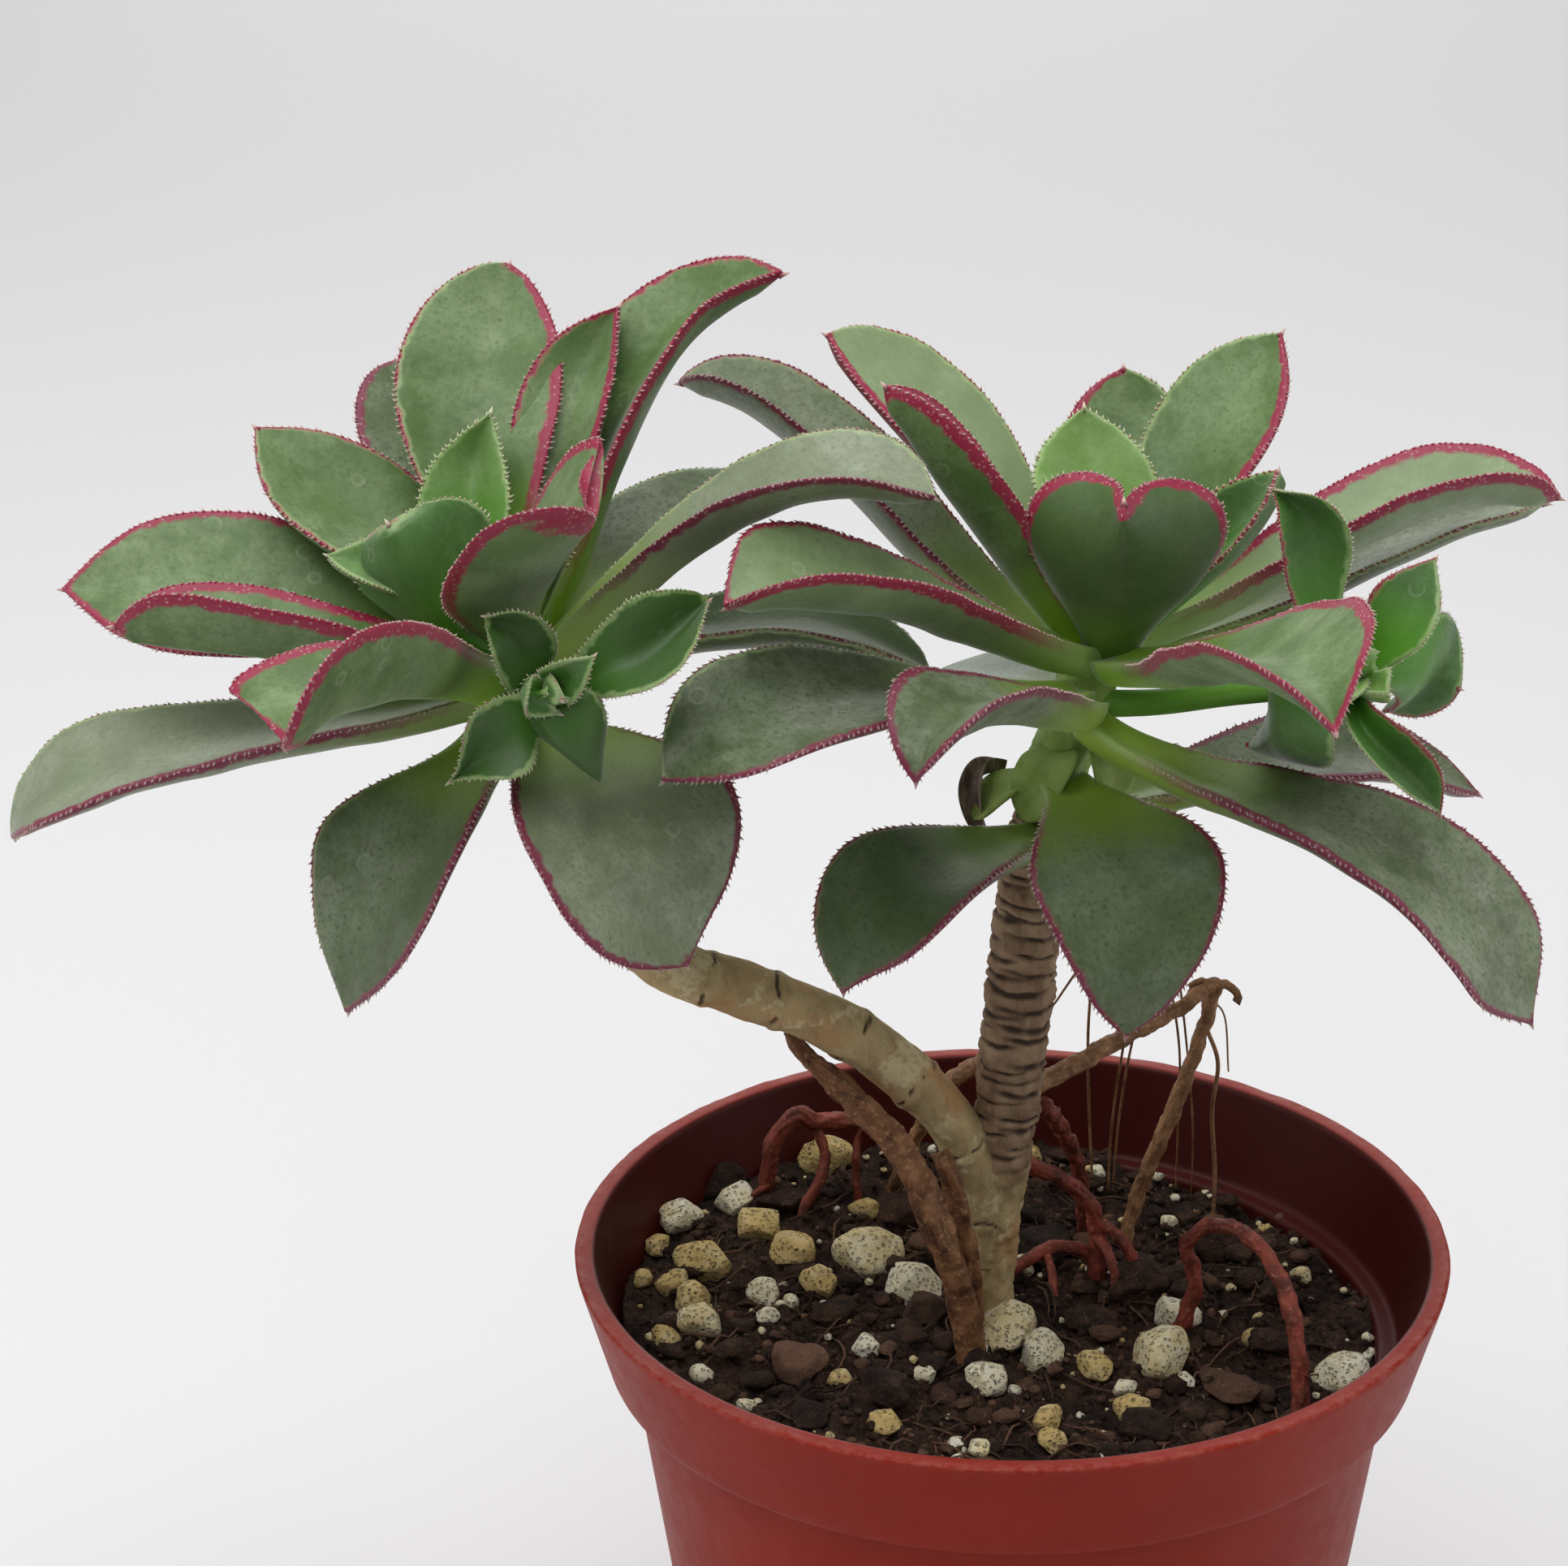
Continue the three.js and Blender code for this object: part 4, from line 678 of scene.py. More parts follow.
rosetteForm = {
    "thickness": 1.6, "stations": 40, "around": 28, "teeth": 0.75, "seed": 100,
    "budWidth": 6,      # a leaf narrower than this is a bud: brighter, with a pale margin
    "budTone": 0.8, "budBlush": (0, 0.1),
}
for number, (name, rosette) in enumerate(rosettes.items()):
    rosette["parts"] = []
    for place, leaf in enumerate(rosette["leaves"]):
        bud = leaf[0] < rosetteForm["budWidth"]
        tone = rosette["tone"] + rosetteForm["budTone"] * bud
        blush = rosetteForm["budBlush"] if bud else rosette["blush"]
        seed = rosetteForm["seed"] + 10 * number + place
        rosette["parts"] += leafParts(leaf, seed, tone, blush, rosetteForm, rosetteForm["teeth"])


# Tubes: stems, roots and strands
def routeThrough(points, step):
    # a cubic through the points whose slopes come from their neighbours, evened out to one point each step mm
    p = np.array(points, float)
    knots = np.append(0, np.cumsum(np.sqrt(np.linalg.norm(np.diff(p, axis=0), axis=1))))
    slope = np.gradient(p, knots, axis=0)
    at = np.linspace(0, knots[-1], 40 * len(p))
    k = np.clip(np.searchsorted(knots, at, side="right") - 1, 0, len(p) - 2)
    h = (knots[k + 1] - knots[k])[:, None]
    x = (at[:, None] - knots[k][:, None]) / h
    line = (2 * x ** 3 - 3 * x ** 2 + 1) * p[k] + (x ** 3 - 2 * x ** 2 + x) * h * slope[k]
    line += (3 * x ** 2 - 2 * x ** 3) * p[k + 1] + (x ** 3 - x ** 2) * h * slope[k + 1]
    run = np.append(0, np.cumsum(np.linalg.norm(np.diff(line, axis=0), axis=1)))
    even = np.linspace(0, run[-1], max(4, int(run[-1] / step)))
    return np.stack([np.interp(even, run, line[:, c]) for c in range(3)], axis=-1), even


def tubePart(points, radius, step, around, shape=None, values=None):
    # middle + (radius + shape(mm along, turn)) * (side * cos(turn) + up * sin(turn)), with up kept square to
    # the plane that the route lies in, so the ring never twists
    middle, run = routeThrough(points, step)
    along = unit(np.gradient(middle, axis=0))
    side = unit(np.cross(along, np.linalg.svd(middle - middle.mean(0))[2][2]))
    up = np.cross(along, side)
    place, turn = run[:, None], circle * np.arange(around)[None, :] / around
    size = np.interp(run / run[-1], np.linspace(0, 1, len(radius)), radius)[:, None]
    if shape is not None:
        size = size + shape(place, turn)
    size = np.broadcast_to(size, (len(run), around))
    ring = side[:, None] * np.cos(turn)[..., None] + up[:, None] * np.sin(turn)[..., None]
    skin, faces = ringSkin(middle[:, None] + size[..., None] * ring, middle[0], middle[-1])
    given = {key: withPoles(np.broadcast_to(make(place, turn), size.shape))
             for key, make in (values or {}).items()}
    return skin, faces, given


# Stem bark: corky tan skin crossed by dark crescent leaf scars, smooth green skin at the top
stem = {
    "right": [(-2, -1, 49), (-2, -1, 63), (-1.5, 0, 77), (-.5, 0, 86), (.5, 0, 97), (1.5, 0, 108),
              (3, 0, 118), (5.5, -.5, 127), (8, -1, 135)],
    "rightRadius": [1.8, 1.8, 2.3, 2.9, 3.2, 3.3, 3, 2.9, 2.4],
    "left": [(-2, -1, 70), (-2.5, -1, 76.5), (-5.5, -1.5, 85), (-11.5, -3, 92.6), (-19, -5, 98.7),
             (-26.5, -7, 102.7), (-31.5, -9, 105.5), (-36, -10, 110.5), (-40.3, -11, 118), (-43.5, -11, 128),
             (-45.5, -11, 138.5)],
    "leftRadius": [1.8, 2.2, 2.5, 2.6, 2.6, 2.6, 2.6, 2.7, 2.9, 2.9, 2.4],
    "scarPitch": 0.72,              # mm of stem for each leaf shed
    "scarTurn": 2.39996,            # the golden angle
    "scarDepth": 0.42,
    "scarFrom": 30, "scarTo": 74,   # mm along the upright stem
    "nodes": [4, 13.5, 22, 31, 39.5, 47, 54, 60],   # mm along the side stem
    "nodeHeight": 0.22, "crackDepth": 0.2,
    "smoothUpTo": 34,               # mm along the upright stem, where its corky skin begins
    "rightGreen": 67, "leftGreen": 62,
    # Corky succulent bark, dry and matte: tan ridges, dark brown scars, fading to living green skin above.
    "bark": {
        "shader": {"Specular IOR Level": 0.3},
        "patterns": {
            "scar": None, "green": None, "pale": None, "broad": (3, 4, 0.6), "rust": (6, 3, 0.6),
            "streak": (1.2, 3, 0.6, (1, 1, 0.35)), "peel": (4, 4, 0.7), "grain": (0.3, 2, 0.5),
        },
        "layers": [
            ("#7a5f4a",), ("#a58c70", ("broad", 0.3, 0.7)), ("#543c2c", ("streak", 0.45, 0.75, 0, 0.6)),
            ([("#94805a",), ("#b8a478", ("broad", 0.3, 0.7)),
              ("#7d5f3c", ("streak", 0.5, 0.75, 0, 0.55)), ("#a06a40", ("rust", 0.5, 0.62, 0, 0.5)),
              ("#cdbf98", ("peel", 0.55, 0.62, 0, 0.6))], ("pale",)),
            ("#2f1f18", ("scar", 0.2, 0.75, 0, 0.92)),
            ([("#76943e",), ("#a2b868", ("broad", 0.3, 0.7))], ("green",)),
        ],
        "roughness": ("green", 0, 1, 0.82, 0.5),
        "bumps": [("streak", 0.25), ("grain", 0.06)],
    },
}


def scarsOf(run, turn):
    # the nth scar is a crescent at n * pitch, turned by n times the golden angle; the deepest one counts
    pitch = stem["scarPitch"]
    n = np.arange(int(stem["scarTo"] / pitch) + 1)
    facing = np.cos(turn[..., None] - n * stem["scarTurn"] + 0.7 * np.sin(5.3 * n))
    height = run[..., None] - pitch * n - 0.45 * (1 - facing) - 0.3 * np.sin(7.1 * n)
    crescent = np.exp(-(height / (0.3 + 0.12 * np.sin(3.7 * n))) ** 2) * np.clip(1.5 * facing + 0.25, 0, 1)
    worn = 0.65 + 0.35 * smooth(0.5 + 0.9 * waver(run, turn, 2.5, 9))
    return worn * crescent.max(-1) * smooth((run - stem["scarFrom"]) / 5) * smooth((stem["scarTo"] - run) / 8)


def waver(run, turn, size, seed, octaves=2):
    # noise over a tube: its length and its turn laid out as a cylinder of 3 mm radius
    run, turn = np.broadcast_arrays(run, turn)
    return ripple(np.stack([3 * np.cos(turn), 3 * np.sin(turn), run], axis=-1), size, seed, octaves)


def rightShape(run, turn):
    return 0.22 * waver(run, turn, 3, 1, 4) - stem["scarDepth"] * scarsOf(run, turn) + 0.1


def nodesOf(run, turn):
    # a raised ring at each node, tilted a little round the stem
    places = np.array(stem["nodes"], float)
    tilt = 0.6 * np.sin(turn[..., None] + places)
    return np.exp(-((run[..., None] - places - tilt) / 0.7) ** 2).max(-1)


def cracksOf(run, turn):
    # a thin dark line below each node's ring, and one along the upper side of the stem
    places = np.array(stem["nodes"], float)
    tilt = 0.6 * np.sin(turn[..., None] + places) + 0.25 * np.sin(3 * turn[..., None] + 2 * places)
    rings = np.exp(-((run[..., None] - places - 0.5 - tilt) / 0.22) ** 2).max(-1)
    rings = rings * smooth(0.4 + waver(run, turn, 3, 11))
    sideways = 2.6 * np.angle(np.exp(1j * (turn - 2.2 - 0.25 * np.sin(run / 3))))
    split = np.exp(-(sideways / 0.2) ** 2) * smooth((run - 10) / 3) * smooth((30 - run) / 3)
    return np.maximum(rings, split)


def leftShape(run, turn):
    raised = stem["nodeHeight"] * nodesOf(run, turn) - stem["crackDepth"] * cracksOf(run, turn)
    return 0.1 * waver(run, turn, 5, 2, 3) + raised


# stubs of shed leaves: their width, then the four control points of the midrib
stubForm = {
    "thickness": 1.2, "stations": 30, "around": 24, "green": 0.9, "seed": 300,
    "row": (.6, 3, (10, 10), (0, 0)), "point": 80,
}
stubs = [
    (6, (5, -.5, 124), (4, -4, 125.5), (2, -6, 124), (.5, -6, 118.5)),
    (5, (3.5, 0, 121), (1, -2, 122), (-2, -3.5, 122), (-4, -4, 118)),
    (5, (6, 0, 126), (8, -4, 127), (9, -5, 124), (9, -5, 120)),
    (4.5, (3, 0, 118.5), (6, 3, 119), (8, 4.5, 118), (8.5, 5, 115)),
    (4.5, (-44, -11, 122), (-41, -9, 123), (-39, -8, 122), (-38.5, -8, 119)),
]
stemParts = [
    tubePart(stem["right"], stem["rightRadius"], step=0.2, around=64, shape=rightShape, values={
        "scar": scarsOf,
        "pale": lambda run, turn: smooth((stem["smoothUpTo"] - run + 3 * waver(run, turn, 5, 6)) / 6),
        "green": lambda run, turn: smooth((run - stem["rightGreen"] + 3 * waver(run, turn, 5, 5)) / 6),
    }),
    tubePart(stem["left"], stem["leftRadius"], step=0.3, around=48, shape=leftShape, values={
        "scar": cracksOf,
        "pale": lambda run, turn: 1 + 0 * run,
        "green": lambda run, turn: smooth((run - stem["leftGreen"]) / 12),
    }),
]
for number, (width, *midrib) in enumerate(stubs):
    row = (width, *stubForm["row"], *midrib, stubForm["point"])
    points, faces, values = leafBlade(row, stubForm["seed"] + number, stubForm)
    values["green"] = np.full(len(points), stubForm["green"])
    stemParts.append((points, faces, values))
makePiece("stem_bark", stemParts, makeMaterial("corky bark", stem["bark"]), ["stem"])

farFromMargin = 9.0     # mm, so that a shoot gets no margin
for name, rosette in rosettes.items():
    points, faces, _ = tubePart(rosette["shoot"], rosette["radius"], step=0.4, around=24)
    values = {key: np.full(len(points), value)
              for key, value in (("leafT", 0.1), ("tone", 0.4), ("marginMm", farFromMargin))}
    parts = rosette["parts"] + [(points, faces, values)]
    makePiece(name + "_leaves", parts, leafSkins["young"], [name])
print("stem and small rosettes grown")


# Roots and withered strands
def rootSkin(name, main, dark, pale):
    # Dry woody root: wrinkled, matte, darker in its creases and paler where the skin has peeled.
    return makeMaterial(name, {
        "shader": {"Roughness": 0.7, "Specular IOR Level": 0.35},
        "patterns": {"broad": (2.5, 3, 0.6), "fine": (0.5, 3, 0.6)},
        "layers": [(dark,), (main, ("broad", 0.35, 0.65)), (pale, ("fine", 0.55, 0.75, 0, 0.6))],
        "bumps": [("broad", 0.2), ("fine", 0.12)],
    })


rootRed = rootSkin("red root skin", "#843b2c", "#4d2016", "#b56e58")
rootTan = rootSkin("tan root skin", "#9c7350", "#6a4830", "#c0a07a")
witheredBrown = rootSkin("withered stem fibre", "#8a5f3e", "#4a2a1a", "#b99668")

roots = {
    "root_tan": ([(2, 2, 87.5), (6, 5, 88), (11, 8, 89.5), (17, 11, 91.3), (20.5, 13, 93), (20.3, 13.8, 90),
                  (19, 14, 85), (17, 14.3, 78.5), (13.5, 14.8, 68), (12.5, 15, 62), (12.5, 15, 54)],
                 [1, .9, .8, .7, .7, .7, .8, .8, .7, .6, .6], rootTan, "bark"),
    "root_red_left": ([(-6, 15, 52), (-6.5, 15.5, 64), (-9, 19, 70.5), (-14, 24, 72.7), (-18.5, 24, 72.7),
                       (-20.5, 23, 74), (-22.5, 22, 72.5), (-23.5, 22, 69), (-24, 22.5, 63), (-24, 22.5, 54)],
                      [.8, .8, .8, .8, .9, .9, .9, .8, .8, .8], rootRed, "root_red"),
    "root_red_right": ([(15.5, -4, 52), (15.7, -4.5, 62), (17.5, -6, 70), (16.5, -7, 75), (18.5, -9, 78),
                        (21.5, -13, 79), (24, -17, 77), (25.5, -20, 72), (26, -21, 64), (26, -21, 54)],
                       [.8, .8, .8, .7, .7, .7, .8, .8, 1, 1], rootRed, "root_red"),
    "root_brown_front": ([(-.5, 3, 79), (3, 5, 77), (7.5, 8, 72.5), (9, 9, 69), (9.3, 9, 62), (9.3, 9, 54)],
                         [.8, .8, .8, .8, .7, .7], rootRed, "root_red"),
    "root_brown_mid": ([(3, 3, 85), (5, 8, 80.5), (7.5, 13, 73), (8.5, 16.5, 64), (8.5, 17, 54)],
                       [.9, .8, .7, .7, .7], rootRed, "root_red"),
    "root_brown_back": ([(-2, 3, 90), (-5, 9, 85), (-7, 15, 79), (-9.5, 21, 70), (-11, 26, 62),
                         (-11, 26, 54)], [.9, .8, .7, .7, .6, .6], rootTan, "root_red"),
    "withered_strand_long": ([(-21.4, -5.8, 97.4), (-20, -6, 95.2), (-15.5, -6.5, 91), (-11, -7, 85.5),
                              (-8, -8, 79), (-5.5, -8.5, 72), (-4.5, -8.5, 65.5), (-4.5, -8.5, 55)],
                             [.4, 1, 1.3, 1.4, 1.3, 1.3, 1.2, 1.2], witheredBrown, "dry_brown"),
    "withered_strand_short": ([(-7, -5, 84), (-5.5, -5.5, 79.5), (-4.8, -5.5, 74), (-4.2, -5, 67.5),
                               (-4.2, -5, 56)], [.7, 1, 1.1, 1.1, 1.1], witheredBrown, "dry_brown"),
}


def rootShape(seed):
    # bumps and wrinkles, a tenth of a millimetre or two
    return lambda run, turn: 0.13 * waver(run, turn, 2.2, seed, 3) + 0.08 * np.sin(run / 0.6 + turn)


def fibreShape(seed):
    # ribs along the strand that wander round it
    return lambda run, turn: (0.28 * np.sin(3 * turn + 0.3 * run + seed) + 0.16 * np.sin(7 * turn - 0.2 * run)
                              + 0.14 * waver(run, turn, 2.5, seed, 2))


for number, (name, (points, radius, material, slotName)) in enumerate(roots.items()):
    shape = fibreShape(number) if name.startswith("withered") else rootShape(number)
    part = tubePart(points, radius, step=0.25, around=28, shape=shape)
    makePiece(name + "_skin", [part], material, [name])

# thin side roots: which skin, radius, and the points they pass through; the finest stay smooth
sideRoots = [
    ("red", .55, [(-18.5, 24, 72.6), (-17.8, 21.5, 69), (-20.2, 19, 65), (-21.5, 17.5, 60)]),
    ("red", .4, [(-14, 23.6, 72.5), (-14.6, 22.5, 69), (-14.4, 22, 65), (-14.4, 22, 60)]),
    ("red", .35, [(-23.5, 21.5, 67), (-25.5, 21, 65.5), (-26.5, 20, 62)]),
    ("red", .6, [(9, 9, 69), (11, 8, 68), (12.6, 7.5, 65.5), (13, 7, 60)]),
    ("red", .5, [(9, 9, 67.5), (10.3, 6, 66.5), (11, 4, 62)]),
    ("red", .7, [(0, 6, 64.8), (3, 7.5, 66), (6, 8.5, 66.4), (8.5, 9, 65), (8.8, 9, 60)]),
    ("red", .4, [(4, 8, 66.2), (4.6, 5, 64.5), (4.8, 3, 60)]),
    ("red", .28, [(24, -17, 76), (24.8, -17.5, 74.6), (25, -18.6, 73.4)]),
    ("tan", .45, [(20.5, 13, 92.8), (22, 12.5, 93), (23, 12.2, 92), (22.6, 12, 91.4)]),
    ("tan", .3, [(20.5, 13, 92.8), (19.2, 12.6, 93.6), (18, 12.4, 93)]),
    ("tan", .22, [(20, 13.5, 88), (21.3, 14, 84), (21, 15, 78), (21.6, 16, 70), (21.4, 16.5, 60)]),
    ("tan", .16, [(3, 2, 112), (9, 12, 106), (9.4, 19, 96), (9, 22, 84), (9.6, 26, 72), (10.4, 28, 60)]),
    ("tan", .14, [(3, 2, 108), (8, 9, 100), (5.5, 13, 92), (3.5, 15, 88)]),
    ("tan", .15, [(4, 2, 110), (13, 12, 102), (13.4, 18, 92), (12.6, 22, 82), (12, 27, 70), (11.8, 28, 60)]),
    ("tan", .15, [(4, 2, 109), (14, 14, 100), (15.2, 19, 92), (13.6, 23, 82), (12.8, 28, 70),
                  (12.4, 29, 60)]),
    ("tan", .14, [(4, 3, 111), (15, 16, 101), (17, 22, 90), (18.6, 25, 80), (19, 28, 70), (19, 29, 59)]),
    ("tan", .13, [(4, 3, 112), (16, 17, 102), (18, 22, 90), (19.6, 25, 78), (20.6, 28, 68), (20.6, 29, 59)]),
    ("tan", .12, [(14, 9.6, 90.6), (17, 18, 88), (21, 26, 85), (24, 33, 80), (25, 36, 72)]),
]

for skin, material, slotName in (("red", rootRed, "root_red"), ("tan", rootTan, "bark")):
    parts = []
    for k, (which, radius, points) in enumerate(sideRoots):
        if which == skin:
            shape = rootShape(40 + k) if radius > 0.3 else None
            parts.append(tubePart(points, radius * np.array([1, 1, 0.8]), step=0.5, around=10, shape=shape))
    makePiece(f"side_roots_{skin}", parts, material, ())
print("roots grown")

# Dry leaf, curled up
dryForm = {
    "thickness": 1.0, "stations": 48, "around": 28, "seed": 77,
    "row": (4.2, .55, 1.6, (55, 65), (0, 0),
            (-1, 1, 121.5), (-5, -3.5, 124.5), (-4.5, -3.5, 118.5), (-2.5, -3.5, 115.5)),
    # Dead leaf: grey-brown, papery, with darker creases that run along it.
    "paper": {
        "shader": {"Roughness": 0.85, "Specular IOR Level": 0.3},
        "patterns": {"crease": (0.9, 4, 0.6, (1, 1, 0.3))},
        "layers": [("#5a4a42",), ("#9a887c", ("crease", 0.35, 0.65))],
        "bumps": [("crease", 0.4)],
    },
}
deadPaper = makeMaterial("dead leaf paper", dryForm["paper"])
dryBlade = leafBlade(dryForm["row"], dryForm["seed"], dryForm)
makePiece("dry_leaf_paper", [dryBlade], deadPaper, ["dry_leaf"])


# Soil
soil = {
    "level": 63, "slope": -0.05, "lump": 0.7,
    "rings": 110, "sectors": 300,
    "outer": 37.9, "inner": 36.6,   # the surface runs into the pot's wall, above and below the ledge
    "ledge": 62, "ledgeSoft": 0.8,
    "crumbHeight": 0.9, "crumbSize": 2.6, "crumbSeed": 21,
    "crumbs": 2600, "crumbSizes": (0.5, 1.5), "crumbReach": 36.3, "paleCrumbs": 0.25,
    "chips": 240, "chipSizes": (1.4, 3.8), "chipReach": 34.5,
    "fibres": 150, "fibreLengths": (4, 13), "fibreReach": 33, "fibreRadius": [0.12, 0.14, 0.08],
    "seed": 5, "fibreSeed": 8,
    # Peat and bark compost: almost black when damp, brown where it is dry, matte and crumbly.
    "peat": {
        "shader": {"Roughness": 0.95, "Specular IOR Level": 0.2},
        "patterns": {"tone": None, "crumb": (1.4, 5, 0.7), "fine": (0.4, 3, 0.6), "patch": (7, 2, 0.5)},
        "layers": [
            ("#1c1410",), ("#4a3428", ("crumb", 0.35, 0.7)), ("#6e5040", ("tone", 0.3, 1)),
            ("#8a6e54", ("fine", 0.6, 0.75, 0, 0.6)), ("#15100e", ("patch", 0.52, 0.6, 0, 0.6)),
        ],
        "bumps": [("crumb", 0.8), ("fine", 0.3)],
    },
}


def soilHeight(x, y):
    # level + slope * x + lump * (sin(0.35x + 1.3) cos(0.31y - 0.7) + 0.5 sin(0.8x - 0.4y))
    waves = np.sin(0.35 * x + 1.3) * np.cos(0.31 * y - 0.7) + 0.5 * np.sin(0.8 * x - 0.4 * y)
    return soil["level"] + soil["slope"] * x + soil["lump"] * waves


def groundHeight(x, y):
    # the broad surface with rounded crumbs on it
    flat = np.stack([x, y, 0 * x], axis=-1)
    lumps = np.abs(ripple(flat, soil["crumbSize"], soil["crumbSeed"], 3))
    return soilHeight(x, y) + soil["crumbHeight"] * (lumps - 0.45)


def groundPart():
    # rings of growing radius over the ground's height, then down the inside of the pot to its floor
    turn = circle * np.arange(soil["sectors"]) / soil["sectors"]
    x, y = soil["outer"] * np.cos(turn), soil["outer"] * np.sin(turn)
    # where the soil stands lower than the ledge, its edge stays inside the thin wall below the collar
    over = smooth((soilHeight(x, y) - soil["ledge"]) / soil["ledgeSoft"])
    edge = soil["inner"] + (soil["outer"] - soil["inner"]) * over
    radii = edge * np.linspace(0.01, 1, soil["rings"])[:, None]
    x, y = radii * np.cos(turn), radii * np.sin(turn)
    top = np.stack([x, y, groundHeight(x, y)], axis=-1)
    # two more rings, each (radius, height), inside the pot's wall and on its floor
    below = [ringOf(soil["sectors"], radius) + (0, 0, height) for radius, height in ((34.8, 57), (26.6, 2.5))]
    rings = np.concatenate([top, below])
    points, faces = ringSkin(rings[::-1], (0, 0, 2.5), (0, 0, groundHeight(np.zeros(1), np.zeros(1))[0]))
    return points, faces, {"tone": np.zeros(len(points))}


# Lumps: balls roughened by noise and cut flat on some sides, for crumbs, bark, lava and pumice
lumpForm = {"grain": 1.6, "apart": 9, "width": 0.85, "cuts": 9, "cutAt": 0.72, "cutShare": 0.85}


def ballSkin(rows, columns):
    # a unit ball as rings from south to north: (cos(lift) * cos(turn), cos(lift) * sin(turn), sin(lift))
    lift = np.linspace(-np.pi / 2, np.pi / 2, rows + 2)[1:-1][:, None]
    turn = circle * np.arange(columns) / columns
    rings = np.broadcast_arrays(np.cos(lift) * np.cos(turn), np.cos(lift) * np.sin(turn), np.sin(lift))
    return ringSkin(np.stack(rings, axis=-1), (0, 0, -1), (0, 0, 1))


def turnsOf(count, draw):
    # evenly spread random rotations, from random unit quaternions
    w, x, y, z = unit(draw.normal(size=(count, 4))).T
    rows = [1 - 2 * (y * y + z * z), 2 * (x * y - w * z), 2 * (x * z + w * y),
            2 * (x * y + w * z), 1 - 2 * (x * x + z * z), 2 * (y * z - w * x),
            2 * (x * z - w * y), 2 * (y * z + w * x), 1 - 2 * (x * x + y * y)]
    return np.stack(rows, axis=-1).reshape(-1, 3, 3)


def facet(lumps, seed):
    # each lump is cut flat on a few sides: what stands beyond a side's plane is pushed back most of the way
    ways = unit(np.random.default_rng(seed + 1).normal(size=(len(lumps), lumpForm["cuts"], 3)))
    for side in range(lumpForm["cuts"]):
        over = np.maximum(np.einsum("nvj,nj->nv", lumps, ways[:, side]) - lumpForm["cutAt"], 0)
        lumps = lumps - lumpForm["cutShare"] * over[..., None] * ways[:, side][:, None]
    return lumps


def manyLumps(places, sizes, tones, seed, rows, columns, rough, flat=0.7):
    # one ball for each place: turned at random, pushed in and out by noise, then flattened and moved there
    draw = np.random.default_rng(seed)
    count = len(places)
    ball, faces = ballSkin(rows, columns)
    turned = np.einsum("nij,vj->nvi", turnsOf(count, draw), ball)
    noise = ripple(turned + lumpForm["apart"] * np.arange(count)[:, None, None], lumpForm["grain"], seed, 2)
    lumps = facet(turned * (1 + rough * noise)[..., None], seed)
    lumps = lumps * sizes[:, None, None] / 2 * np.array([1, lumpForm["width"], flat])
    spin = draw.uniform(0, circle, count)[:, None]
    x, y, z = np.moveaxis(lumps, -1, 0)
    spun = np.stack([x * np.cos(spin) - y * np.sin(spin), x * np.sin(spin) + y * np.cos(spin), z], -1)
    points = (spun + places[:, None]).reshape(-1, 3)
    shift = (np.arange(count) * len(ball))[:, None, None]
    faces = [(f[None] + shift).reshape(-1, f.shape[1]) for f in faces]
    return points, faces, {"tone": np.repeat(tones, len(ball))}


def oneLump(place, size, tone, **form):
    return manyLumps(np.array([place]), np.array([size]), np.array([tone]), **form)


def scatter(count, draw, reach):
    # even over the disc: the radius is reach * sqrt(a random number)
    radius, turn = reach * np.sqrt(draw.random(count)), circle * draw.random(count)
    x, y = radius * np.cos(turn), radius * np.sin(turn)
    return x, y, groundHeight(x, y)


peat = makeMaterial("peat compost", soil["peat"])
draw = np.random.default_rng(soil["seed"])
x, y, z = scatter(soil["crumbs"], draw, soil["crumbReach"])
sizes = draw.uniform(*soil["crumbSizes"], len(x))
tones = np.where(draw.random(len(x)) < soil["paleCrumbs"], draw.uniform(0.3, 1, len(x)), 0)
places = np.stack([x, y, z + 0.1 * sizes], -1)
crumbs = manyLumps(places, sizes, tones, seed=6, rows=3, columns=6, rough=0.25)
makePiece("soil_ground", [groundPart(), crumbs], peat, ["soil"])

x, y, z = scatter(soil["chips"], draw, soil["chipReach"])
sizes = draw.uniform(*soil["chipSizes"], len(x))
tones = draw.uniform(0, 0.8, len(x))
places = np.stack([x, y, z + 0.15 * sizes], -1)
chips = manyLumps(places, sizes, tones, seed=7, rows=8, columns=14, rough=0.3, flat=0.45)
makePiece("bark_chips", [chips], peat, ())

# larger bark, lava and dead-leaf lumps: place, size across, height as a share of it, and tone
lumps = [
    (-21, -12, 7, .4, .9), (-13, -16, 5.5, .8, 0), (22, 16, 7, .7, .05), (13, 6, 7, .6, .1),
    (-8, 0, 6.5, .5, .5), (-5.5, 3.5, 5, .4, .35), (8, -1, 6, .35, .25), (12, -20.5, 6, .5, .1),
    (20.5, -15, 6.5, .45, .6), (-28, 26, 6, .8, .05), (-10, 20, 7, .5, .4), (-22, 21, 6, .4, .3),
    (4, 13, 7, .6, .15), (27, 6, 5, .6, .05), (-3, 17, 5, .5, .2), (-20, -20, 5, .5, .15),
    (25, -6, 5, .4, .3), (17, 8, 5, .5, .1), (-17, -1, 5, .4, .2),
]
parts = []
for number, (x, y, size, flat, tone) in enumerate(lumps):
    ground = groundHeight(np.array([x]), np.array([y]))[0]
    parts.append(oneLump((x, y, ground + 0.18 * size), size, tone, seed=50 + number, rows=30, columns=48,
                         rough=0.22, flat=flat))
makePiece("bark_and_lava", parts, peat, ())

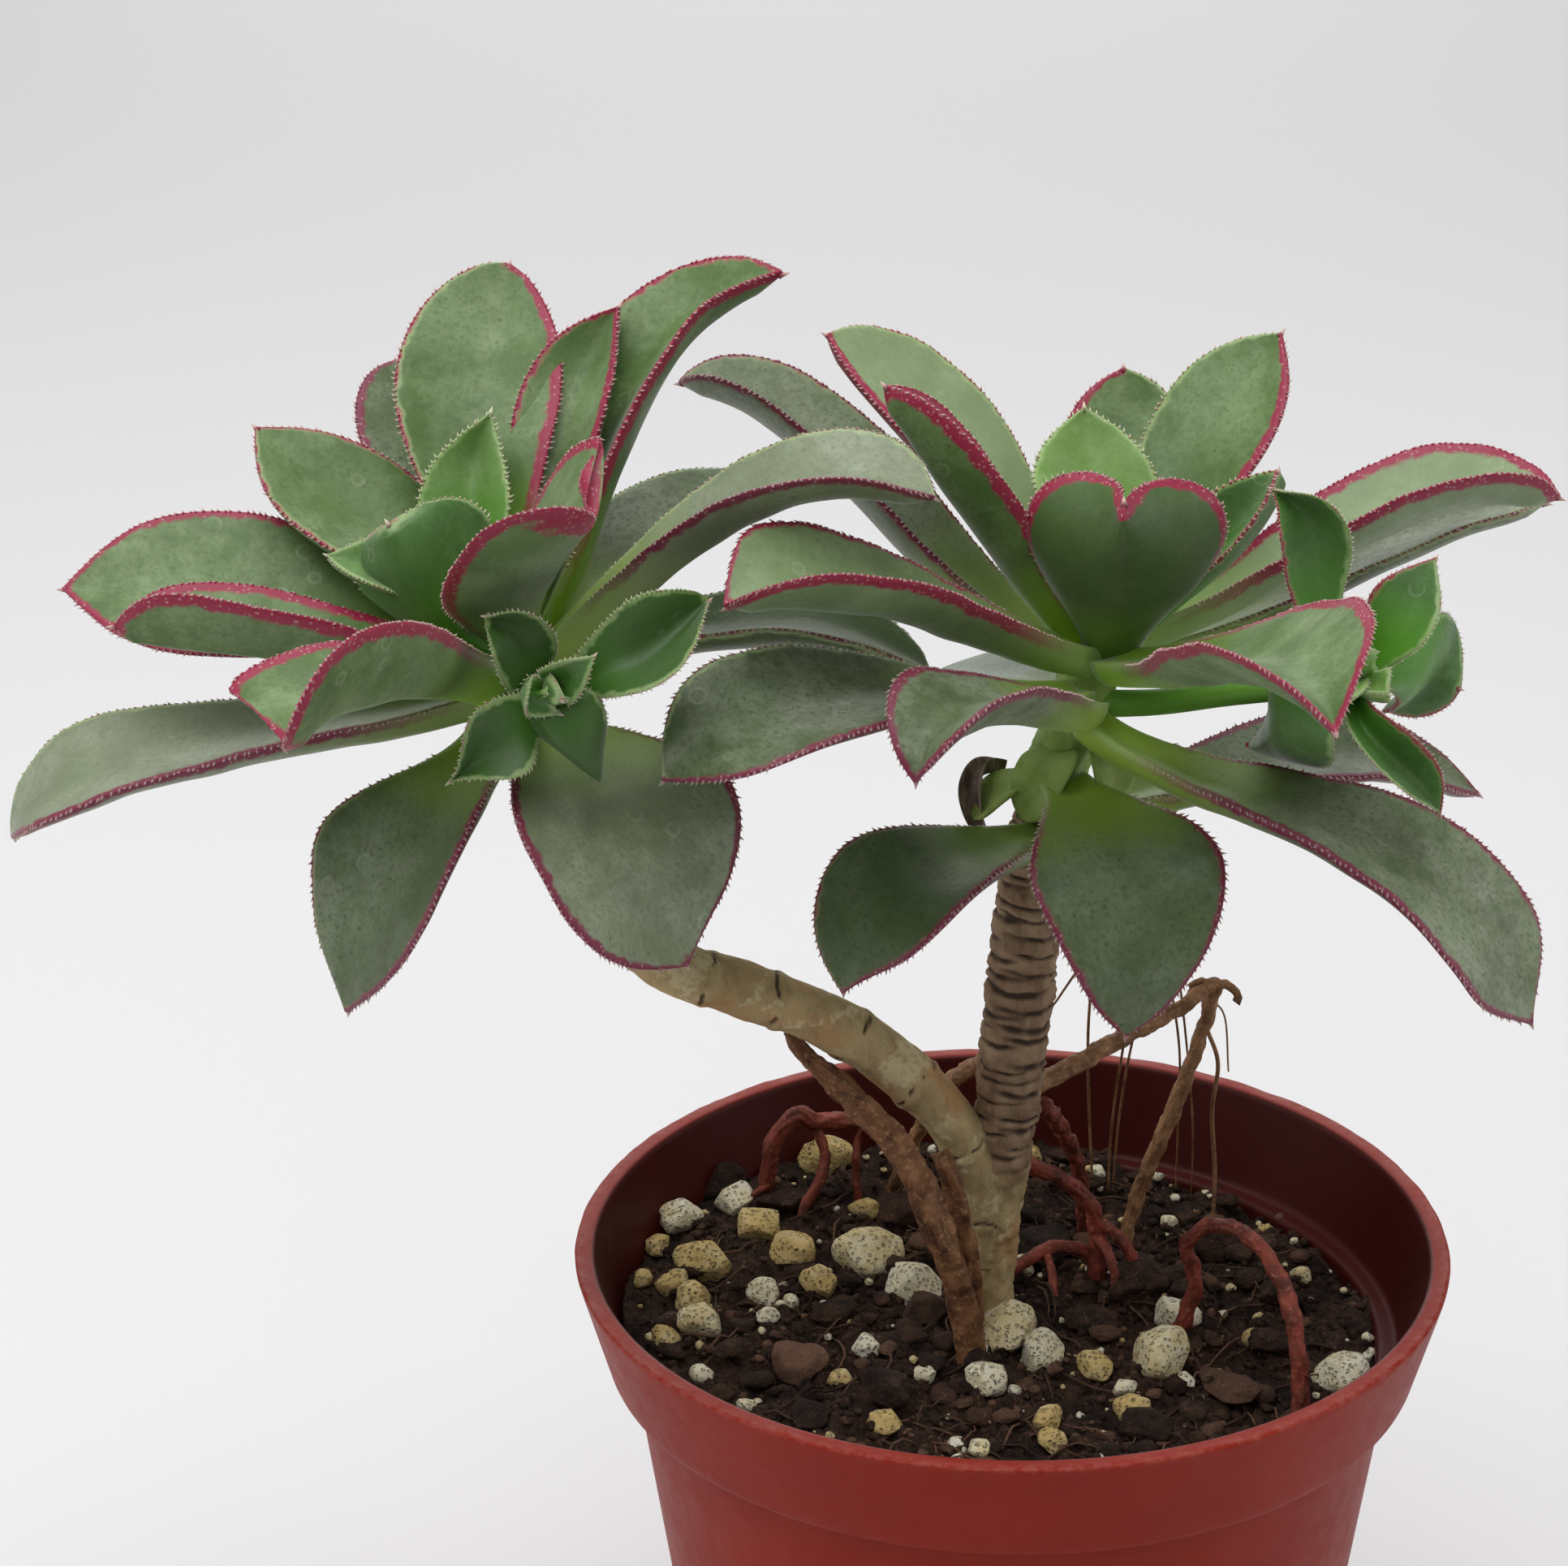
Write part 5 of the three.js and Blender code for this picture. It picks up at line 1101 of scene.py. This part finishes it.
# pumice: place on the surface, size across, and colour
grains = [
    (-32.6, 17.5, 4.5, "pale"), (-27.2, 21.5, 4.3, "pale"), (-24.6, 15.5, 4.7, "gold"),
    (-21.3, 11, 4.8, "gold"), (-30.2, 7.8, 5.3, "gold"), (-13.6, 10.8, 6.6, "cream"),
    (-9, 4.6, 5.8, "pale"), (-18.6, 3, 4, "gold"), (-24, 3.4, 3.5, "pale"), (-31, .4, 3.7, "gold"),
    (-30.3, -4.4, 4.3, "cream"), (-33.6, -6.6, 3.1, "gold"), (-36, 3, 2.2, "gold"),
    (-30.2, -13.3, 2.5, "pale"), (-17.6, 32, 5.4, "gold"), (-13.8, 20.5, 2.7, "gold"),
    (-34.8, 13.5, 2.8, "gold"), (-32.6, 4.6, 2.3, "gold"), (-.4, -4.6, 6, "cream"),
    (2.6, -6.6, 4.7, "pale"), (-3.2, -13.6, 4.3, "pale"), (-1.5, -1.6, 3.5, "gold"),
    (16.3, -1.2, 4.5, "pale"), (14.2, -8.4, 5.8, "cream"), (31.2, -11, 5.6, "pale"),
    (-12.9, -21.3, 3.5, "gold"), (2.4, -20.6, 3.1, "gold"), (2.9, -23.3, 3.1, "gold"),
    (11, -17.4, 3.9, "gold"), (1, 22.6, 2.9, "white"), (3.4, 33.5, 3.3, "gold"),
    (17.5, 19.6, 2, "pale"), (29.7, 8.8, 2.2, "cream"), (1.4, 10.2, 3.1, "cream"),
    (-23.8, -2.3, 2.2, "pale"), (-21.4, .7, 1.7, "pale"), (-18, .1, 1.6, "pale"),
    (-8.7, -11.9, 2.2, "pale"), (-14.1, -6.4, 2.9, "white"), (7.7, -10.1, 3.5, "gold"),
    (10.2, -13.7, 2.2, "pale"), (23.6, -3.9, 2.6, "gold"), (16.2, -10.9, 2, "white"),
    (-4.3, -25.6, 2.3, "cream"), (-6.2, -24.6, 2, "white"), (-25.8, -16.9, 1.7, "pale"),
    (-33.6, 2.7, 2.6, "gold"), (35, -1.9, 1.2, "pale"), (34.6, -4.5, 1.2, "pale"),
    (10.9, 30.2, 1.7, "white"), (-17, -13.1, 2.2, "gold"), (-3, -7.1, 2.3, "pale"),
    (-.3, -14.3, 1.4, "white"), (-22.5, .8, 1.2, "white"),
]
pumice = {
    "tones": {"gold": 0.0, "cream": 0.5, "pale": 0.8, "white": 1.0},
    "scale": 1.15,          # grains look a little larger than their pale faces
    "sunk": 0.22, "rough": 0.14, "height": 0.78, "seed": 200,
    "finest": 3,            # mm, below which a grain has fewer faces
    "crumbs": 260, "crumbSizes": (0.35, 1.3), "crumbPower": 1.5, "crumbSeed": 12,
    # Pumice: a light volcanic stone, chalky and full of small open bubbles, cream to ochre yellow.
    "stone": {
        "shader": {"Roughness": 0.9, "Specular IOR Level": 0.3},
        "patterns": {
            "tone": None, "broad": (2.2, 3, 0.6), "grit": (0.35, 3, 0.5), "bubbles": ("spots", 0.5, 0.4, 0.2),
            "shifted": [("tone",), ("broad", 0.3, 0.7, -0.3, 0.3)], "solid": [("bubbles", 1, 0)],
        },
        "layers": [
            ("#b39a64",), ("#c9bc96", ("shifted", 0, 0.6)), ("#d2ccba", ("shifted", 0.5, 1.1)),
            ("#7d6b4a", ("bubbles",), ("broad", 0.4, 0.6, 0.05, 0.3)),
        ],
        "bumps": [("solid", 0.35), ("grit", 0.2)],
    },
}


parts = []
for number, (x, y, size, colour) in enumerate(grains):
    size = size * pumice["scale"]
    rows = 12 if size < pumice["finest"] else 26
    parts.append(oneLump((x, y, soilHeight(x, y) + pumice["sunk"] * size), size, pumice["tones"][colour],
                         seed=pumice["seed"] + number, rows=rows, columns=2 * rows, rough=pumice["rough"],
                         flat=pumice["height"]))
pumiceStone = makeMaterial("pumice", pumice["stone"])
makePiece("pumice_grains", parts, pumiceStone, ())

# crumbled pumice between the larger grains
draw = np.random.default_rng(pumice["crumbSeed"])
x, y, z = scatter(pumice["crumbs"], draw, soil["crumbReach"])
sizes = draw.uniform(*pumice["crumbSizes"], len(x)) ** pumice["crumbPower"]
tones = draw.uniform(0, 1, len(x))
places = np.stack([x, y, z + 0.2 * sizes], -1)
dust = manyLumps(places, sizes, tones, seed=13, rows=4, columns=8, rough=0.2)
makePiece("pumice_crumbs", [dust], pumiceStone, ())

# fibres of peat: fine curved threads that lie on the ground
draw = np.random.default_rng(soil["fibreSeed"])
parts = []
x, y, _ = scatter(soil["fibres"], draw, soil["fibreReach"])
for start in zip(x, y):
    length, turn, bend = draw.uniform(*soil["fibreLengths"]), draw.uniform(0, circle), draw.normal(0, 0.9)
    way = turn + bend * np.linspace(-0.5, 0.5, 6)
    line = np.array(start) + np.cumsum(np.stack([np.cos(way), np.sin(way)], -1), axis=0) * length / 6
    # no fibre reaches further out than 35 mm, where the pot's wall is near
    line *= np.minimum(1, 35 / np.linalg.norm(line, axis=-1, keepdims=True))
    lift = 0.35 + draw.uniform(0, 0.9, 6) * np.array([0, .5, 1, 1, .5, 0])
    route = np.column_stack([line, groundHeight(*line.T) + lift])
    points, faces, _ = tubePart(route, soil["fibreRadius"], step=0.9, around=5)
    parts.append((points, faces, {"tone": np.full(len(points), draw.uniform(0.3, 1))}))
makePiece("peat_fibres", parts, peat, ())
print("soil filled")

# Pot
pot = {
    "height": 72, "rimRadius": 42.5, "rimWidth": 2, "collarHeight": 11, "collarBottomRadius": 39.4,
    "bodyTopRadius": 37.2, "baseRadius": 28.4, "wall": 1.4, "floor": 2,
    "sectors": 240, "drainHoles": 8, "drainRadius": 2, "drainCircle": 21,
    "cornerSteps": 6, "longestStep": 1.1, "shortestStep": 0.04,     # points of the wall's outline, in mm
    "rag": 0.06,         # how far the rim's moulding burr wanders
    # Moulded polypropylene, brick red: a low even sheen, fine scuffs and dust, a paler burr on the rim, and
    # painted shade that darkens the whole inside.
    "plastic": {
        "shader": {"Specular IOR Level": 0.15, "IOR": 1.49},
        "patterns": {
            "burr": None, "inside": None, "broad": (14, 3, 0.6), "scuffs": (2.5, 5, 0.75),
            "worn": (1.2, 4, 0.7), "grain": (0.5, 2, 0.5),
        },
        "layers": [
            ("#7d1a0c",), ("#872310", ("broad", 0.3, 0.7)), ("#a0685c", ("scuffs", 0.62, 0.8, 0, 0.12)),
            # painted shade over the pot's inside
            ("#c79a90", ("burr",), ("worn", 0.4, 0.6, 0, 0.12)), ("#240c0a", ("inside", 0, 1, 0, 0.85)),
        ],
        "roughness": ("scuffs", 0.3, 0.8, 0.4, 0.6),
        "bumps": [("grain", 0.015), ("broad", 0.08)],
    },
}


def rounded(corners):
    # each corner (radius, height, rounding) becomes a quadratic curve between its two cut points
    corners = np.array(corners, float)
    p, rounding = corners[:, :2], corners[:, 2:]
    before, after = np.concatenate([p[:1], p[:-1]]), np.concatenate([p[1:], p[-1:]])
    room = np.minimum(np.linalg.norm(before - p, axis=1), np.linalg.norm(after - p, axis=1))[:, None]
    reach = np.minimum(rounding, 0.45 * room)
    a, b = p + unit(before - p) * reach, p + unit(after - p) * reach
    s = np.linspace(0, 1, pot["cornerSteps"])[None, :, None]
    curve = ((1 - s) ** 2 * a[:, None] + 2 * s * (1 - s) * p[:, None] + s * s * b[:, None]).reshape(-1, 2)
    curve = curve[np.append(True, np.linalg.norm(np.diff(curve, axis=0), axis=1) > 1e-4)]
    # long straight runs are cut into steps of about a millimetre
    run = np.append(0, np.cumsum(np.linalg.norm(np.diff(curve, axis=0), axis=1)))
    places = np.union1d(run, np.arange(0, run[-1], pot["longestStep"]))
    places = places[np.append(True, np.diff(places) > pot["shortestStep"])]
    return np.stack([np.interp(places, run, curve[:, k]) for k in (0, 1)], axis=-1)


def potPart():
    # the wall's outline carried once round: out from the base's middle, up the outside, over the rim, then
    # down the inside and over the ledge to the middle of the floor
    step = pot["height"] - pot["collarHeight"]
    slope = (pot["rimRadius"] - pot["collarBottomRadius"]) / pot["collarHeight"]
    insideRim = pot["rimRadius"] - pot["rimWidth"]
    ledge = step + pot["wall"]
    insideLedge = insideRim - slope * (pot["height"] - ledge)
    outline = rounded([
        (3, 0, 0), (pot["baseRadius"], 0, 0.8), (pot["bodyTopRadius"], step, 0.5),
        (pot["collarBottomRadius"], step, 0.9), (pot["rimRadius"], pot["height"], 0.45),
        (insideRim, pot["height"], 0.5), (insideLedge, ledge, 0.6),
        (pot["bodyTopRadius"] - pot["wall"], ledge, 0.6),
        (pot["baseRadius"] - pot["wall"], pot["floor"], 0.8), (3, pot["floor"], 0),
    ])
    turn = circle * np.arange(pot["sectors"]) / pot["sectors"]
    radius = outline[:, :1] + 0 * turn
    height = outline[:, 1:] + 0 * turn
    around = ringOf(pot["sectors"], 40)     # where the noise is read
    nearRim = smooth((height - pot["height"] + 0.6) / 0.6) * smooth((radius - insideRim - 1) / 0.6)
    radius = radius + nearRim * pot["rag"] * (ripple(around, 6, 31, 3) - 0.3)
    height = height + nearRim * pot["rag"] * ripple(around, 4, 32, 3)
    rings = np.stack([radius * np.cos(turn), radius * np.sin(turn), height], axis=-1)
    points, faces = ringSkin(rings, (0, 0, 0), (0, 0, pot["floor"]))
    # the outline comes to the rim's inner edge at this row, and from there on it is the pot's inside
    inner = np.argmax((outline[:, 1] > pot["height"] - 0.1) & (outline[:, 0] < insideRim + 0.3))
    # painted shade: from that row on, the pot's inside is darkened
    inside = smooth((np.arange(len(outline)) - inner + 2) / 3)[:, None] + 0 * turn
    return points, faces, {"burr": withPoles(nearRim), "inside": withPoles(inside)}


def cutDrainHoles(piece):
    # straight holes on a circle through the floor, cut with one cutter that is then removed
    middles = ringOf(pot["drainHoles"], pot["drainCircle"], 0.5)
    ring = ringOf(32, pot["drainRadius"], 0.5)
    up = np.array([0, 0, 3.0 * pot["floor"]])
    parts = [ringSkin(np.stack([m + ring - up / 2, m + ring + up]), m - up / 2, m + up) for m in middles]
    starts = np.arange(len(parts)) * len(parts[0][0])
    points = np.concatenate([p for p, _ in parts]) * mm
    faces = [row for (_, group), start in zip(parts, starts) for f in group for row in (f + start).tolist()]
    mesh = bpy.data.meshes.new("drain cutter")
    mesh.from_pydata(points.tolist(), [], faces)
    cutter = bpy.data.objects.new("drain cutter", mesh)
    bpy.context.scene.collection.objects.link(cutter)
    cut = piece.modifiers.new("drain holes", "BOOLEAN")
    cut.operation, cut.solver, cut.object = "DIFFERENCE", "EXACT", cutter
    evaluated = piece.evaluated_get(bpy.context.evaluated_depsgraph_get())
    holed = bpy.data.meshes.new_from_object(evaluated)
    piece.modifiers.clear()
    piece.data = holed
    bpy.data.objects.remove(cutter)


plastic = makeMaterial("moulded polypropylene", pot["plastic"])
potPiece = makePiece("nursery_pot", [potPart()], plastic, ["pot"])
cutDrainHoles(potPiece)
print("pot moulded")

# Floor and light
studio = {
    "floorSize": 6000,
    # Matte paper: a pale sheet with painted shade that greys it slowly towards the back, from 0.25 m to 1.5 m
    # behind the pot.
    "paper": {
        "shader": {"Roughness": 0.9, "Specular IOR Level": 0.1},
        "patterns": {"depth": "Y"},
        "layers": [("#d2d1d2",), ("#b4b4b6", ("depth", 0.25, 1.5))],
    },
    "sky": "#f2f1f0", "skyStrength": 0.14,
    # place, size and power of each soft lamp, all aimed at the plant's middle
    "lamps": [((-100, 0, 1050), 1000, 10.5), ((-1000, -50, 450), 800, 3.6), ((1000, -50, 450), 800, 3.4),
              ((0, 1100, 480), 900, 5), ((-150, -750, 1000), 900, 5)],
    "aim": (0, 0, 100),
}


def makeFloor():
    # one large square sheet under the pot
    half = studio["floorSize"] / 2 * mm
    mesh = bpy.data.meshes.new("floor")
    corners = [(-half, -half, 0), (half, -half, 0), (half, half, 0), (-half, half, 0)]
    mesh.from_pydata(corners, [], [(0, 1, 2, 3)])
    mesh.materials.append(makeMaterial("matte paper sweep with painted falloff", studio["paper"]))
    floor = bpy.data.objects.new("floor", mesh)
    bpy.context.scene.collection.objects.link(floor)


def makeLight():
    # an even pale sky and large square lamps, each turned to face the plant
    world = bpy.data.worlds.new("studio")
    world.use_nodes = True
    back = world.node_tree.nodes["Background"]
    back.inputs["Color"].default_value = linear(studio["sky"])
    back.inputs["Strength"].default_value = studio["skyStrength"]
    bpy.context.scene.world = world
    for number, (place, size, power) in enumerate(studio["lamps"]):
        data = bpy.data.lights.new(f"soft_lamp_{number}", "AREA")
        data.shape, data.size, data.energy = "SQUARE", size * mm, power
        lamp = bpy.data.objects.new(data.name, data)
        away = unit(np.array(place, float) - np.array(studio["aim"], float))
        side = unit(np.cross((0, 0, 1), away))
        turned = Matrix(np.stack([side, np.cross(away, side), away], axis=1).tolist()).to_4x4()
        lamp.matrix_world = Matrix.Translation([v * mm for v in place]) @ turned
        bpy.context.scene.collection.objects.link(lamp)


makeFloor()
makeLight()
bpy.context.scene.view_settings.view_transform = "Standard"
print("floor and lamps set")
